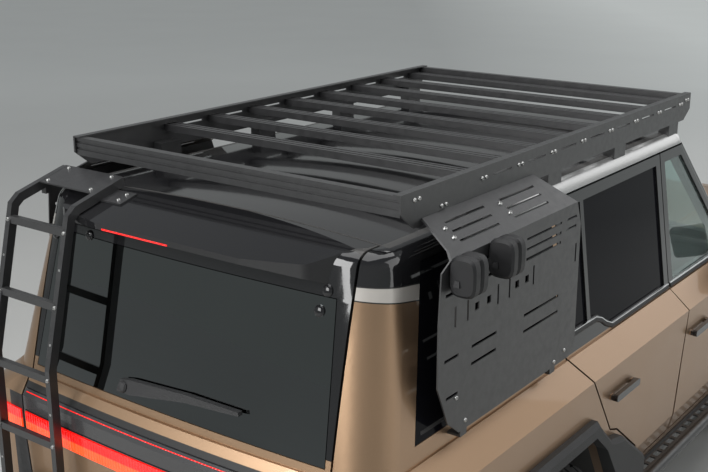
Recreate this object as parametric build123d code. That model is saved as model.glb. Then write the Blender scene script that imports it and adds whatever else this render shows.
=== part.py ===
"""Lifted off-road estate car with a roof rack, a tailgate ladder and slotted side panels.

Frame: +Z up, front towards -Y, the car's left side towards +X. Origin on the ground under
the middle of the car. All lengths are in millimetres.
"""

from build123d import *
import math
import os

# Driving dimensions of the whole car
LENGTH = 5000.0
WHEELBASE = 2850.0
FRONT_OVERHANG = 930.0
TRACK = 1670.0
GAP = 8.0            # shut line between a moving panel and its neighbour
FIT = 0.3            # clearance between faces that only meet
WALL_LOW = 75.0      # thickness of a door or side below the windows
WALL_HIGH = 45.0     # thickness of a window frame or pillar
SKIN = 40.0          # thickness of a bonnet, nose or fender wall
GLASS_INSET = 9.0    # glass set back from the outer face
GLASS = 5.0          # glass thickness

# Wheels
TYRE_R = 428.0
TYRE_W = 285.0
RIM_R = 229.0
RIM_W = 236.0
TYRE_SIDES = 48      # flats round the tread, one of them on the ground
KINGPIN_X = 765.0
HUB_FACE_X = 784.0   # where the wheel meets the knuckle or the axle flange
STEER_DEG = 32.0

# Levels above the ground
SILL_Z = 500.0
ROCKER_Z = 620.0
SHOULDER_Z = 1150.0
BELT_Z = 1232.0
ROOF_Z = 1935.0
ROOF_SIDE_Z = 1905.0
FLOOR_Z = 640.0
FLOOR_T = 30.0
CARGO_Z = 800.0

# Places along the car
NOSE_Y = -LENGTH / 2
TAIL_Y = LENGTH / 2
FRONT_AXLE_Y = NOSE_Y + FRONT_OVERHANG
REAR_AXLE_Y = FRONT_AXLE_Y + WHEELBASE
BODY_NOSE_Y = NOSE_Y + 55
BODY_TAIL_Y = TAIL_Y - 60
FIREWALL_Y = -1040.0
HOOD_BACK_Y = -1070.0
NOSE_SPLIT_Y = -2290.0
DOOR_FRONT_Y = -885.0
PILLAR_B_Y = 20.0
DOOR_REAR_Y = 1075.0
ROOF_SEAM_Y = 2078.0

# Widths
SHOULDER_X = 968.0
BELT_X = 872.0
ROOF_X = 752.0
ROOF_CUT_X = 690.0   # seam between the roof and the sides
TUB_X = 790.0        # seam between the floor and the sides
TUB_Z = 1150.0       # top of that seam
HOOD_X = 770.0
OUTER_X = 999.0      # outer face of the arch flares
FLARE_EDGE = 18.0
HINGE_X = SHOULDER_X + 2


def box(x, y, z):
    """A block from three (low, high) pairs."""
    size = [high - low for low, high in (x, y, z)]
    return Pos(x[0], y[0], z[0]) * Box(*size, align=(Align.MIN,) * 3)


def prism_x(outline, x_low, x_high):
    """A side-view outline of (y, z) points, extruded across the car."""
    face = Plane.YZ.offset(x_low) * make_face(Polyline(*outline, close=True))
    return extrude(face, x_high - x_low)


def prism_y(outline, y_low, y_high):
    """An outline of (x, z) points seen from the front, extruded along the car."""
    plane = Plane((0, y_low, 0), x_dir=(1, 0, 0), z_dir=(0, -1, 0))
    return extrude(plane * make_face(Polyline(*outline, close=True)), -(y_high - y_low))


def prism_z(outline, z_low, z_high, radius=0):
    """A plan outline of (x, y) points, extruded upwards, with its corners rounded."""
    face = make_face(Polyline(*outline, close=True))
    if radius:
        face = fillet(face.vertices(), radius)
    return Pos(0, 0, z_low) * extrude(face, z_high - z_low)


def cyl_x(y, z, radius, x_low, x_high):
    """A cylinder across the car."""
    return extrude(Plane.YZ.offset(x_low) * Pos(y, z) * Circle(radius), x_high - x_low)


def rod(start, end, radius):
    """A round bar between two points."""
    line = Vector(*end) - Vector(*start)
    return extrude(Plane(start, z_dir=line) * Circle(radius), line.length)


def mirrored(shape):
    """The same piece on the car's other side."""
    return mirror(shape, about=Plane.YZ)


def both_sides(shape):
    """A piece and its twin, as one shape."""
    return Compound([*shape.solids(), *mirrored(shape).solids()])


def one(shape):
    """The solids of a shape as one compound, ready to export."""
    return Compound(shape.solids())


def plan(z, half, front, rear, bow_front, bow_rear, r_front, r_rear):
    """A level section of the body: straight sides, bowed ends and round corners."""
    with BuildSketch(Plane.XY.offset(z)) as section:
        with BuildLine():
            ThreePointArc((-half, front + bow_front), (0, front), (half, front + bow_front))
            Line((half, front + bow_front), (half, rear - bow_rear))
            ThreePointArc((half, rear - bow_rear), (0, rear), (-half, rear - bow_rear))
            Line((-half, rear - bow_rear), (-half, front + bow_front))
        make_face()
        fillet(section.vertices().sort_by(Axis.Y)[:2], r_front)
        fillet(section.vertices().sort_by(Axis.Y)[-2:], r_rear)
    return section.sketch


# Level sections of the lower body: height, half width, setback of the nose and the tail
LOWER_SECTIONS = (
    (SILL_Z, 905.0, 40.0, 30.0),
    (ROCKER_Z, 935.0, 0.0, 10.0),
    (SHOULDER_Z, SHOULDER_X, 0.0, 0.0),
    (BELT_Z, BELT_X, 45.0, 45.0),
)
# Level sections of the glasshouse: height, half width, front and rear
UPPER_SECTIONS = (
    (BELT_Z - 1, BELT_X - 8, -1010.0, 2382.0),
    (ROOF_Z + 25, ROOF_X, -330.0, 2215.0),
)
ROOF_EDGE_R = 60.0
TAIL_CORNER_R = 150.0
TAIL_FALL = 0.27     # drop of the roof's tail for each mm behind the seam


def lower_body(inset=0.0):
    """The body below the windows, moved inwards by inset."""
    return loft([
        plan(z, half - inset, BODY_NOSE_Y + front + inset, BODY_TAIL_Y - rear - inset,
             70, 40, 200 - inset, TAIL_CORNER_R - inset)
        for z, half, front, rear in LOWER_SECTIONS
    ], ruled=True)


def roof_crown(inset=0.0):
    """Everything under the crowned roof."""
    top, side = ROOF_Z - inset, ROOF_SIDE_Z - inset
    outline = [
        *ThreePointArc((-770, side), (0, top), (770, side)).edges(),
        *Polyline((770, side), (1000, side - 60), (1000, 900), (-1000, 900),
                  (-1000, side - 60), (-770, side)).edges(),
    ]
    plane = Plane((0, -3000, 0), x_dir=(1, 0, 0), z_dir=(0, -1, 0))
    return extrude(plane * make_face(outline), -6000)


def tail_z(y):
    """Height of the roof's sloping tail behind the seam."""
    return ROOF_Z - TAIL_FALL * (y - ROOF_SEAM_Y)


def over_tail(inset=0.0):
    """The space over the roof's sloping tail, which is lowered by inset."""
    drop = inset * math.hypot(1, TAIL_FALL)
    front, back, high = ROOF_SEAM_Y - 300, TAIL_Y + 100, ROOF_Z + 300
    slope = [(y, tail_z(y) - drop) for y in (front, back)]
    return prism_x([*slope, (back, high), (front, high)], -1100, 1100)


def upper_body(inset=0.0, rounded=True):
    """The glasshouse, moved inwards by inset, with a crowned roof that falls at its tail."""
    tower = loft([
        plan(z, half - inset, front + inset * 1.4, rear - inset, 110, 30,
             120 - inset, TAIL_CORNER_R - inset)
        for z, half, front, rear in UPPER_SECTIONS
    ], ruled=True) & roof_crown(inset)
    if rounded:
        edges = [e for e in tower.edges() if e.center().Z > ROOF_SIDE_Z - inset - 30]
        tower = fillet(edges, ROOF_EDGE_R)
    return tower - over_tail(inset)


def lower_x(z):
    """Half width of the lower body at a height."""
    for (z0, x0, *_), (z1, x1, *_) in zip(LOWER_SECTIONS, LOWER_SECTIONS[1:]):
        if z <= z1:
            return x0 + (x1 - x0) * (z - z0) / (z1 - z0)
    return x1


def upper_x(z):
    """Half width of the glasshouse at a height."""
    (z0, x0, *_), (z1, x1, *_) = UPPER_SECTIONS
    return x0 + (x1 - x0) * (z - z0) / (z1 - z0)


def skin_x(z):
    """Half width of the body's side at a height, taken as upright under the belt."""
    return SHOULDER_X if z < BELT_Z - 70 else upper_x(z)


def offset_outline(flat, gap):
    """Moves each side of a polygon inwards by gap, and keeps its corners."""
    flat = list(flat)
    area = sum(a[0] * b[1] - b[0] * a[1] for a, b in zip(flat, flat[1:] + flat[:1]))
    turn = math.copysign(1, area)
    sides = []
    for (y0, z0), (y1, z1) in zip(flat, flat[1:] + flat[:1]):
        length = math.hypot(y1 - y0, z1 - z0)
        dy, dz = (y1 - y0) / length, (z1 - z0) / length
        sides.append(((y0 - dz * gap * turn, z0 + dy * gap * turn), (dy, dz)))
    corners = []
    for (p, d), (q, e) in zip([sides[-1], *sides[:-1]], sides):
        cross = d[0] * e[1] - d[1] * e[0]
        t = ((q[0] - p[0]) * e[1] - (q[1] - p[1]) * e[0]) / cross
        corners.append((p[0] + d[0] * t, p[1] + d[1] * t))
    return corners


# Half of the squared wheel arch and of its flare: distance from the axle, height from it
ARCH = ((520, -330), (520, 170), (360, 400), (250, 495))
FLARE = ((790, -330), (790, 204), (545, 385), (427, 413), (330, 500), (280, 553))


def round_axle(half, axle_y, grow=0.0):
    """A whole side-view outline round an axle from its half, grown outwards."""
    points = [(-y, z) for y, z in half] + list(reversed(half))
    points = [(axle_y + y, TYRE_R + z) for y, z in points]
    return offset_outline(points, -grow)


def arch(axle_y, grow=0.0):
    """The wheel arch's opening in side view."""
    return round_axle(ARCH, axle_y, grow)


# Side-view outlines of the doors, from the lower front corner upwards and back
HOOD_LINE = ((-2600, 1112), (-2330, 1150), (-1750, 1196), (-1000, 1222))
DOOR_TOP_Z = 1858.0
DOOR_LOW_Z = 530.0
REAR_LEAN = 0.32     # how far the rear shut face leans in for each mm inwards
FRONT_DOOR = (
    (DOOR_FRONT_Y, DOOR_LOW_Z), (DOOR_FRONT_Y, 1185), (-832, 1236), (-255, DOOR_TOP_Z),
    (PILLAR_B_Y + GAP / 2, DOOR_TOP_Z), (PILLAR_B_Y + GAP / 2, BELT_Z),
    (PILLAR_B_Y + GAP / 2, SHOULDER_Z), (PILLAR_B_Y + GAP / 2, DOOR_LOW_Z),
)
REAR_DOOR = (
    (PILLAR_B_Y - GAP / 2, DOOR_LOW_Z), (PILLAR_B_Y - GAP / 2, DOOR_TOP_Z), (1062, DOOR_TOP_Z),
    (DOOR_REAR_Y, 1240), (1030, 1150), (800, 850), (725, 822), (480, 640), (480, DOOR_LOW_Z),
)
FRONT_SHUT_Y = -100.0    # corners of the front door behind this lie on its rear shut face
REAR_SHUT_Y = 400.0      # the same on the rear door
WINDOW_TOP_Z = 1805.0
WINDOW_LOW_Z = 1262.0
FRONT_WINDOW = ((-735, WINDOW_LOW_Z), (-231, WINDOW_TOP_Z), (PILLAR_B_Y - 50, WINDOW_TOP_Z),
                (PILLAR_B_Y - 50, WINDOW_LOW_Z))
REAR_WINDOW = ((PILLAR_B_Y + 50, WINDOW_LOW_Z), (PILLAR_B_Y + 50, WINDOW_TOP_Z), (815, WINDOW_TOP_Z),
               (832, 1330), (770, 1326), (650, WINDOW_LOW_Z))
REAR_LIGHT = ((845, WINDOW_TOP_Z), (950, WINDOW_TOP_Z), (985, 1330), (862, 1327))
QUARTER_WINDOW = ((1155, 1335), (1135, WINDOW_TOP_Z), (1940, WINDOW_TOP_Z), (2060, 1335))
TAILGATE = ((-690, 700), (-715, 1000), (-712, BELT_Z), (-690, 1960), (690, 1960),
            (712, BELT_Z), (715, 1000), (690, 700))
TAIL_WINDOW = ((-650, 1290), (-612, 1741), (612, 1741), (650, 1290))
WINDSCREEN = ((-780, 1245), (-680, 1845), (680, 1845), (780, 1245))


def door_zone(outline, rear_y, gap):
    """The space of one left door: its rear shut face leans in, so that it swings clear."""
    faces = []
    for x in (560.0, 1060.0):
        flat = [(y - (y > rear_y) * REAR_LEAN * (skin_x(z) - x), z) for y, z in outline]
        points = [(x, y, z) for y, z in offset_outline(flat, gap)]
        faces.append(make_face(Polyline(*points, close=True)))
    return loft(faces, ruled=True)


# The body's outer and inner faces, from which every panel is cut
OUTER_LOW = lower_body()
OUTER_UP = upper_body()
OUTER = OUTER_LOW + OUTER_UP
SIDE_SPACE = lower_body(WALL_LOW)
SKIN_SPACE = lower_body(SKIN)
UPPER_SPACE = upper_body(WALL_HIGH, rounded=False)
PANE = 6.0           # thickness of a pane that lies flush over its frame
FLUSH_SPACE = upper_body(PANE, rounded=False)
FLUSH_SEAT = upper_body(PANE + FIT, rounded=False)
FRONT_ZONE = door_zone(FRONT_DOOR, FRONT_SHUT_Y, 0)
REAR_ZONE = door_zone(REAR_DOOR, REAR_SHUT_Y, 0)
WELL_X = 640.0       # inner wall of the rear wheel housing
WELL_WALL = 22.0
FRONT_WELL_X = 480.0
LINER = 12.0         # thickness of the front wheel arch liner
FENDER_TOP_X = HOOD_X - 20
BUMPER_FRONT_Z = 700.0
BUMPER_REAR_Z = 648.0
ROOF_FRONT_Y = -290.0
ROOF_PANEL = ((-ROOF_CUT_X, ROOF_FRONT_Y), (ROOF_CUT_X, ROOF_FRONT_Y),
              (ROOF_CUT_X, ROOF_SEAM_Y - GAP), (-ROOF_CUT_X, ROOF_SEAM_Y - GAP))
ROOF_PANEL_T = 25.0
LAMP = ((530, 935), (530, 1062), (1000, 1071), (1000, 965))
LAMP_BACK_Y = -2150.0
TAIL_LAMP_Z = (1012.0, 1088.0)
TAIL_LAMP = ((722, TAIL_LAMP_Z[0]), (722, TAIL_LAMP_Z[1]), (1000, TAIL_LAMP_Z[1]), (1000, TAIL_LAMP_Z[0]))
LIGHT_BAR = ((-692, TAIL_LAMP_Z[0]), (-692, TAIL_LAMP_Z[1]), (692, TAIL_LAMP_Z[1]), (692, TAIL_LAMP_Z[0]))
TAIL_LAMP_Y = 2210.0     # where the corner lamps end on the sides
LAMP_PROUD = 6.0
LAMP_DEPTH = 30.0
STRIKER_Z = 1110.0   # height of the door catches
STRIKER_X = (884.0, 906.0)
PILLAR_B_HALF = 45.0     # half the width of the post between the doors, along the car
PILLAR_LOW_T = 60.0      # its thickness under and over the belt
PILLAR_HIGH_T = 50.0
PILLAR_STEP = 10.0       # height over the belt where it steps out, clear of the door's sill
FLOOR_STEP_Y = 700.0     # where the floor steps up to the load floor
HOOD_TAB_X = 600.0   # inner side of the bonnet's hinge tabs
SPOILER_TIP_Y = 2335.0
SPOILER_SEAT = 12.0  # depth that the roof's tail lip is let into the tailgate
LIP = 20.0           # thickness of the spoiler's lip
SPOILER_FRONT_Y = ROOF_SEAM_Y + GAP / 2
LIP_TOP_Z = tail_z(SPOILER_TIP_Y)
SPOILER = ((SPOILER_FRONT_Y, 1990), (SPOILER_TIP_Y, 1990), (SPOILER_TIP_Y, LIP_TOP_Z - LIP),
           (SPOILER_TIP_Y - 14, LIP_TOP_Z - LIP - 4), (2205, 1801), (SPOILER_FRONT_Y, 1801))
SPOILER_PLAN = ((-676, 1950), (-676, SPOILER_TIP_Y - 215), (-560, SPOILER_TIP_Y - 45),
                (-330, SPOILER_TIP_Y), (330, SPOILER_TIP_Y), (560, SPOILER_TIP_Y - 45),
                (676, SPOILER_TIP_Y - 215), (676, 1950))


def above_hood():
    """The space over the bonnet line, ahead of the windscreen."""
    points = [*HOOD_LINE, (HOOD_LINE[-1][0], 1500), (-2600, 1500)]
    return prism_x(points, -1100, 1100)


def hood_band(depth, lift=0.0):
    """A slab under the bonnet line."""
    points = [(y, z + lift) for y, z in HOOD_LINE]
    points += [(y, z - depth) for y, z in reversed(HOOD_LINE)]
    return prism_x(points, -1100, 1100)


def cabin_shell():
    """Every fixed panel round the cabin and the load space, with each opening cut."""
    far = 3000.0
    floor_top, cargo_top = FLOOR_Z + FLOOR_T, CARGO_Z + FLOOR_T
    shell = OUTER - box((-far, far), (-far, HOOD_BACK_Y + GAP), (0, far))
    shell -= above_hood() & OUTER_LOW
    shell -= SIDE_SPACE & box((-far, far), (FIREWALL_Y + 30, FLOOR_STEP_Y), (floor_top, far))
    shell -= SIDE_SPACE & box((-far, far), (FLOOR_STEP_Y - 1, far), (cargo_top, far))
    shell -= SIDE_SPACE & box((-far, far), (-far, FLOOR_STEP_Y + FLOOR_T), (0, FLOOR_Z))
    shell -= SIDE_SPACE & box((-far, far), (FLOOR_STEP_Y + FLOOR_T - 1, far), (0, CARGO_Z))
    shell -= UPPER_SPACE
    post = (OUTER_LOW - lower_body(SKIN + FIT))
    shell -= post & box((-far, far), (-far, DOOR_FRONT_Y + 1), (0, far))
    wing_top = box((FENDER_TOP_X - FIT, far), (-far, DOOR_FRONT_Y + 1), (900, 1300))
    shell -= both_sides(hood_band(SKIN + FIT) & wing_top)
    housing = prism_x(arch(REAR_AXLE_Y, WELL_WALL), WELL_X - WELL_WALL, 905) & OUTER_LOW
    shell += both_sides(housing - box((0, far), (-far, far), (0, SILL_Z + 20)))
    well = prism_x(arch(REAR_AXLE_Y), WELL_X, 1100)
    front_well = prism_x(arch(FRONT_AXLE_Y, LINER + FIT), FRONT_WELL_X - LINER - FIT, 1100)
    bumper_zone = box((-far, far), (REAR_AXLE_Y + 500, far), (0, BUMPER_REAR_Z + FIT))
    windows = prism_x(QUARTER_WINDOW, 600, 1100)
    quarter_seat = prism_x(offset_outline(QUARTER_WINDOW, -45), 600, 1100) - FLUSH_SEAT
    for zone in (FRONT_ZONE, REAR_ZONE, well, front_well, windows, quarter_seat):
        shell -= both_sides(zone)
    shell -= bumper_zone
    cargo_floor = lower_body(WALL_LOW + GAP) & box((-far, far), (0, far), (0, cargo_top))
    shell -= prism_y(TAILGATE, ROOF_SEAM_Y, far) - cargo_floor
    shell -= prism_y(offset_outline(WINDSCREEN, 35), -1200, 300)
    shell -= prism_y(WINDSCREEN, -1200, 0) - FLUSH_SEAT
    shell -= prism_z(ROOF_PANEL, 1800, 2100) - upper_body(ROOF_PANEL_T, rounded=False)
    lamp = prism_y(TAIL_LAMP, TAIL_LAMP_Y, far) - lower_body(LAMP_DEPTH)
    shell -= both_sides(lamp)
    inner = pillar_b() + striker(FRONT_DOOR, FRONT_SHUT_Y) + striker(REAR_DOOR, REAR_SHUT_Y)
    return max((shell + both_sides(inner)).solids(), key=lambda s: s.volume)


def floor_space():
    """The space between the two sides: floor, wheel housings, firewall and scuttle."""
    far = 3000.0
    scuttle = box((-ROOF_CUT_X, ROOF_CUT_X), (-far, -700), (TUB_Z - 10, 1300))
    return box((-TUB_X, TUB_X), (-far, far), (0, TUB_Z)) + scuttle


def roof_space():
    """The space of the roof between the two sides."""
    return box((-ROOF_CUT_X, ROOF_CUT_X), (-3000, 3000), (1780, 2100))


def floor_pan(shell):
    """Firewall, scuttle, front floor, load floor and the panel under the tailgate."""
    far, inner = 3000.0, WELL_X - WELL_WALL
    zones = (
        box((-far, far), (-far, FIREWALL_Y + 30), (0, far)),
        box((-far, far), (FIREWALL_Y + 30, FLOOR_STEP_Y), (0, far)),
        box((-inner, inner), (FLOOR_STEP_Y, far), (0, far)),
    )
    pan = shell & floor_space()
    return Compound([part for zone in zones for part in (pan & zone).solids()])


def wheel_housings(shell):
    """The inner halves of the rear wheel housings, with the load floor's edges beside them."""
    far = 3000.0
    zone = box((WELL_X - WELL_WALL, far), (FLOOR_STEP_Y, far), (0, far))
    return one(shell & floor_space() & both_sides(zone))


def roof_frame(shell):
    """The front header and the inner roof under the roof skin."""
    return one(shell & roof_space())


def body_side(shell):
    """The left side: pillars, sill, roof rail and rear quarter round the door openings."""
    side = shell - floor_space() - roof_space()
    return max([s for s in side.solids() if s.center().X > 0], key=lambda s: s.volume)


def striker(outline, shut_y):
    """The catch that a door's latch closes on, in the gap behind its rear shut face."""
    gap = door_zone(outline, shut_y, -1) - door_zone(outline, shut_y, GAP - FIT)
    return gap & box(STRIKER_X, (shut_y, 2000), (STRIKER_Z - 20, STRIKER_Z + 20))


def pillar_b():
    """The post between the doors, behind their inner faces, from the sill to the roof rail."""
    wide = (PILLAR_B_Y - PILLAR_B_HALF, PILLAR_B_Y + PILLAR_B_HALF)
    low = lower_body(WALL_LOW + GAP) - lower_body(WALL_LOW + GAP + PILLAR_LOW_T)
    back = upper_body(WALL_HIGH + GAP + PILLAR_HIGH_T, rounded=False)
    high = upper_body(WALL_HIGH + GAP, rounded=False) - back
    head = upper_body(WALL_HIGH - 1, rounded=False) - back
    low &= box((500, 1000), wide, (FLOOR_Z, BELT_Z))
    high &= box((ROOF_CUT_X, 1000), wide, (BELT_Z, DOOR_TOP_Z))
    high -= box((skin_x(BELT_Z) - WALL_LOW - GAP, 1000), wide, (0, BELT_Z + PILLAR_STEP))
    head &= box((ROOF_CUT_X, 1000), wide, (DOOR_TOP_Z, ROOF_SIDE_Z))
    return low + high + head


def roof_panel():
    """The gloss roof skin between the rails."""
    return (prism_z(ROOF_PANEL, 1800, 2100) & OUTER_UP) - upper_body(ROOF_PANEL_T - FIT, rounded=False)


def front_fenders():
    """The wings with their wheel arch liners."""
    zone = box((0, 1200), (NOSE_SPLIT_Y, DOOR_FRONT_Y), (SILL_Z, 1300))
    wall = (OUTER_LOW - SKIN_SPACE) & zone
    wall += (OUTER_LOW & zone & hood_band(SKIN)) & box((FENDER_TOP_X, 1200), (-3000, 0), (900, 1300))
    wall -= box((-1200, HOOD_X + GAP / 2), (-3000, HOOD_BACK_Y + 20), (1000, 1400))
    liner = prism_x(arch(FRONT_AXLE_Y, LINER), FRONT_WELL_X - LINER, 915) & OUTER_LOW
    wall += liner - box((0, 1200), (-3000, 0), (0, BUMPER_FRONT_Z + FIT))
    wall -= prism_x(arch(FRONT_AXLE_Y), FRONT_WELL_X, 1100)
    wall -= above_hood()
    wall -= box((0, 1200), (-3000, FRONT_AXLE_Y), (0, BUMPER_FRONT_Z + FIT))
    wall -= prism_y(LAMP, -3000, LAMP_BACK_Y)
    return both_sides(max(wall.solids(), key=lambda s: s.volume))


GRILLE = ((-440, 745), (-470, 1050), (470, 1050), (440, 745))
GRILLE_SLATS = 6
SLAT = 24.0


def nose_panel():
    """The body-colour panel round the grille and the headlamps."""
    zone = box((-1200, 1200), (-3000, NOSE_SPLIT_Y - GAP / 2), (BUMPER_FRONT_Z + FIT, 1300))
    panel = (OUTER_LOW - SKIN_SPACE) & zone
    panel += OUTER_LOW & zone & hood_band(SKIN)
    panel -= above_hood()
    panel -= prism_y(GRILLE, -3000, -2000)
    lamp = prism_y(LAMP, -3000, LAMP_BACK_Y)
    return max((panel - lamp - mirrored(lamp)).solids(), key=lambda s: s.volume)


def grille():
    """A trapezoid frame with level slats, curved with the nose."""
    band = lower_body(6) - lower_body(34)
    outline = offset_outline(GRILLE, FIT)
    frame = prism_y(outline, -3000, -2000) - prism_y(offset_outline(GRILLE, 18), -3000, -2000)
    low, high = GRILLE[0][1], GRILLE[1][1]
    pitch = (high - low) / (GRILLE_SLATS + 1)
    slats = [
        box((-480, 480), (-3000, -2000), (low + pitch * n - SLAT / 2, low + pitch * n + SLAT / 2))
        for n in range(1, GRILLE_SLATS + 1)
    ]
    inside = prism_y(offset_outline(GRILLE, 10), -3000, -2000)
    for slat in slats:
        frame += slat & inside
    front = band & box((-600, 600), (-3000, -2000), (0, 2000))
    return front & frame


def headlamps():
    """Wrap-round lamps at the nose corners."""
    lens = lower_body(-LAMP_PROUD / 2) - lower_body(SKIN + 10)
    lens &= prism_y(offset_outline(LAMP, FIT), -3000, LAMP_BACK_Y - FIT)
    return both_sides(lens)


def tail_lamps():
    """Corner lamps on the rear quarters."""
    lens = lower_body(-LAMP_PROUD) - lower_body(LAMP_DEPTH - FIT)
    return both_sides(lens & prism_y(offset_outline(TAIL_LAMP, FIT), TAIL_LAMP_Y + FIT, 3000))


def bumper_block(sections, bow, radius):
    """A bumper's outer form from level sections: height, half width, nose or tail place."""
    return loft([plan(z, half, -end, end, bow, bow, radius, radius)
                 for z, half, end in sections], ruled=True)


def front_bumper():
    """The full-width bumper with its lower intake."""
    end = LENGTH / 2
    sections = ((430, 900, end - 50), (520, 965, end), (BUMPER_FRONT_Z, 968, end - 5))
    inner = [(z, half - 60, tip - 60) for z, half, tip in sections]
    inner = [(380, *inner[0][1:]), inner[1], (668, *inner[2][1:])]
    shell = bumper_block(sections, 90, 180) - bumper_block(inner, 90, 120)
    shell &= box((-1200, 1200), (-3000, FRONT_AXLE_Y - 515), (0, 2000))
    shell -= both_sides(prism_x(arch(FRONT_AXLE_Y), FRONT_WELL_X, 1100))
    shell -= prism_y(((-360, 535), (-400, 625), (400, 625), (360, 535)), -3000, -2000)
    shell -= SKIN_SPACE & box((-1200, 1200), (-3000, 3000), (660, 2000))
    return max(shell.solids(), key=lambda s: s.volume)


def rear_bumper():
    """The rear bumper with its step."""
    end = LENGTH / 2
    sections = ((485, 905, end - 50), (545, 962, end), (BUMPER_REAR_Z, 965, end))
    inner = [(z, half - 60, tip - 60) for z, half, tip in sections]
    inner = [(430, *inner[0][1:]), inner[1], (618, *inner[2][1:])]
    shell = bumper_block(sections, 45, 160) - bumper_block(inner, 45, 100)
    shell &= box((-1200, 1200), (REAR_AXLE_Y + 515, 3000), (0, 2000))
    shell -= both_sides(prism_x(arch(REAR_AXLE_Y), WELL_X, 1100))
    shell -= SIDE_SPACE & box((-1200, 1200), (0, 3000), (600, 2000))
    shell -= box((-100, 100), (2000, 3000), (400, HITCH_Z + HITCH_HALF + 15))
    return max(shell.solids(), key=lambda s: s.volume)


def windscreen():
    """The windscreen, flush over the pillars' seat."""
    pane = OUTER_UP - FLUSH_SPACE
    return pane & prism_y(offset_outline(WINDSCREEN, 3), -1200, 0)


def quarter_glass():
    """The fixed glass of the rear quarters."""
    pane = (OUTER_UP - FLUSH_SPACE) & prism_x(offset_outline(QUARTER_WINDOW, -42), 600, 1100)
    return both_sides(pane)


def arch_flares():
    """Moulded flares that stand off the body round each wheel."""
    flares = []
    for axle_y, ahead, behind in ((FRONT_AXLE_Y, 640, 678), (REAR_AXLE_Y, 790, 790)):
        reach = box((900, OUTER_X), (axle_y - ahead, axle_y + behind), (520, 1100))
        band = prism_x(round_axle(FLARE, axle_y), 900, OUTER_X) & reach
        band = chamfer(band.faces().sort_by(Axis.X)[-1].edges(), FLARE_EDGE)
        flares.append(band - prism_x(arch(axle_y), 800, 1100) - OUTER_LOW)
    front, rear = flares
    front -= bumper_cut_front()
    rear -= bumper_cut_rear()
    return both_sides(Compound([*front.solids(), *rear.solids()]))


def bumper_cut_front():
    """The space of the front bumper's ends, under the wings."""
    return box((0, 1200), (-3000, FRONT_AXLE_Y), (0, BUMPER_FRONT_Z + FIT))


def bumper_cut_rear():
    """The space of the rear bumper's ends, under the rear quarters."""
    return box((0, 1200), (REAR_AXLE_Y, 3000), (0, BUMPER_REAR_Z + FIT))


def hood():
    """The bonnet with a raised centre."""
    front, back = NOSE_SPLIT_Y + GAP / 2, HOOD_BACK_Y
    side = HOOD_X - GAP / 2
    outline = ((-side, front), (side, front), (side, back), (-side, back))
    panel = (hood_band(SKIN) & prism_z(outline, 900, 1400)) - (prism_z(outline, 900, 1400) - OUTER_LOW)
    raised = ((-430, front + 120), (430, front + 120), (470, back - 10), (-470, back - 10))
    bulge = hood_band(SKIN, 20) & prism_z(raised, 900, 1400)
    tab = hood_band(SKIN) & box((HOOD_TAB_X, HOOD_TAB_X + 60), (back - 20, back + GAP - FIT), (900, 1400))
    return panel + bulge + tab + mirrored(tab)


def door(outline, shut_y, windows):
    """One left door, as thick as the whole door, with its windows cut."""
    zone = door_zone(outline, shut_y, GAP)
    panel = OUTER & zone
    panel -= SIDE_SPACE
    panel -= UPPER_SPACE
    for window in windows:
        panel -= prism_x(window, 500, 1100)
    return max(panel.solids(), key=lambda s: s.volume)


def door_glass(windows):
    """The panes of one left door, set back in their frames."""
    pane = upper_body(GLASS_INSET, rounded=False) - upper_body(GLASS_INSET + GLASS, rounded=False)
    panes = [(pane - OUTER_LOW) & prism_x(offset_outline(w, FIT), 500, 1100) for w in windows]
    return Compound([s for p in panes for s in p.solids()])


HANDLE_Z = 1018.0
HANDLE = (230.0, 19.0, 30.0)     # length along the car, thickness, height
HANDLE_GAP = 14.0                # between the grip and the door's skin
FRONT_HANDLE_Y = PILLAR_B_Y - 60     # rear ends of the handles
REAR_HANDLE_Y = 844.0
CUP = (26.0, 120.0, 66.0)        # finger cup behind the grip: depth, length, height


def with_handle(panel, rear_end):
    """A door with a grab handle that ends at rear_end, over a finger cup in its skin."""
    x = lower_x(HANDLE_Z)
    length, thick, tall = HANDLE
    deep, long, high = CUP
    centre = rear_end - length / 2
    cup = Pos(x, centre, HANDLE_Z) * Box(2 * deep, long, high)
    panel -= fillet(cup.edges(), deep - 2)
    grip = Pos(x + HANDLE_GAP + thick / 2, centre, HANDLE_Z) * Box(thick, length, tall)
    grip = fillet(grip.edges().filter_by(Axis.X), 12)
    for y in (rear_end - 16, rear_end - length + 16):
        grip += Pos(x + HANDLE_GAP / 2 - 2, y, HANDLE_Z) * Box(HANDLE_GAP + 10, 26, tall * 0.7)
    return panel + grip


MIRROR_Y = -735.0
MIRROR_Z = 1300.0


def mirror_left():
    """A door mirror on its arm."""
    housing = Pos(1020, MIRROR_Y, MIRROR_Z) * Box(175, 95, 165)
    housing = fillet(housing.edges(), 28)
    arm = box((830, 960), (MIRROR_Y - 30, MIRROR_Y + 30), (1238, 1264))
    return (housing + arm) - OUTER


def tailgate():
    """The rear door: lower panel, window frame and the tail of the roof."""
    zone = prism_y(offset_outline(TAILGATE, GAP), SPOILER_FRONT_Y, 3000)
    gate = (OUTER & zone) - SIDE_SPACE - UPPER_SPACE
    gate -= prism_y(TAIL_WINDOW, 2000, 3000)
    seat = prism_y(offset_outline(TAIL_WINDOW, -32), 2000, 3000) - FLUSH_SEAT
    gate -= seat & box((-1200, 1200), (2000, 3000), (BELT_Z, 2000))
    gate -= prism_y(LIGHT_BAR, 2000, 3000) - lower_body(LAMP_DEPTH)
    gate -= spoiler_space(FIT) - upper_body(SPOILER_SEAT + FIT, rounded=False)
    return max(gate.solids(), key=lambda s: s.volume)


def spoiler_space(grow=0.0):
    """The roof's tail lip, seen from the side and from above, grown outwards."""
    side = prism_x(offset_outline(SPOILER, -grow), -1000, 1000)
    return side & prism_z(offset_outline(SPOILER_PLAN, -grow), 1700, 2000, 60)


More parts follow.
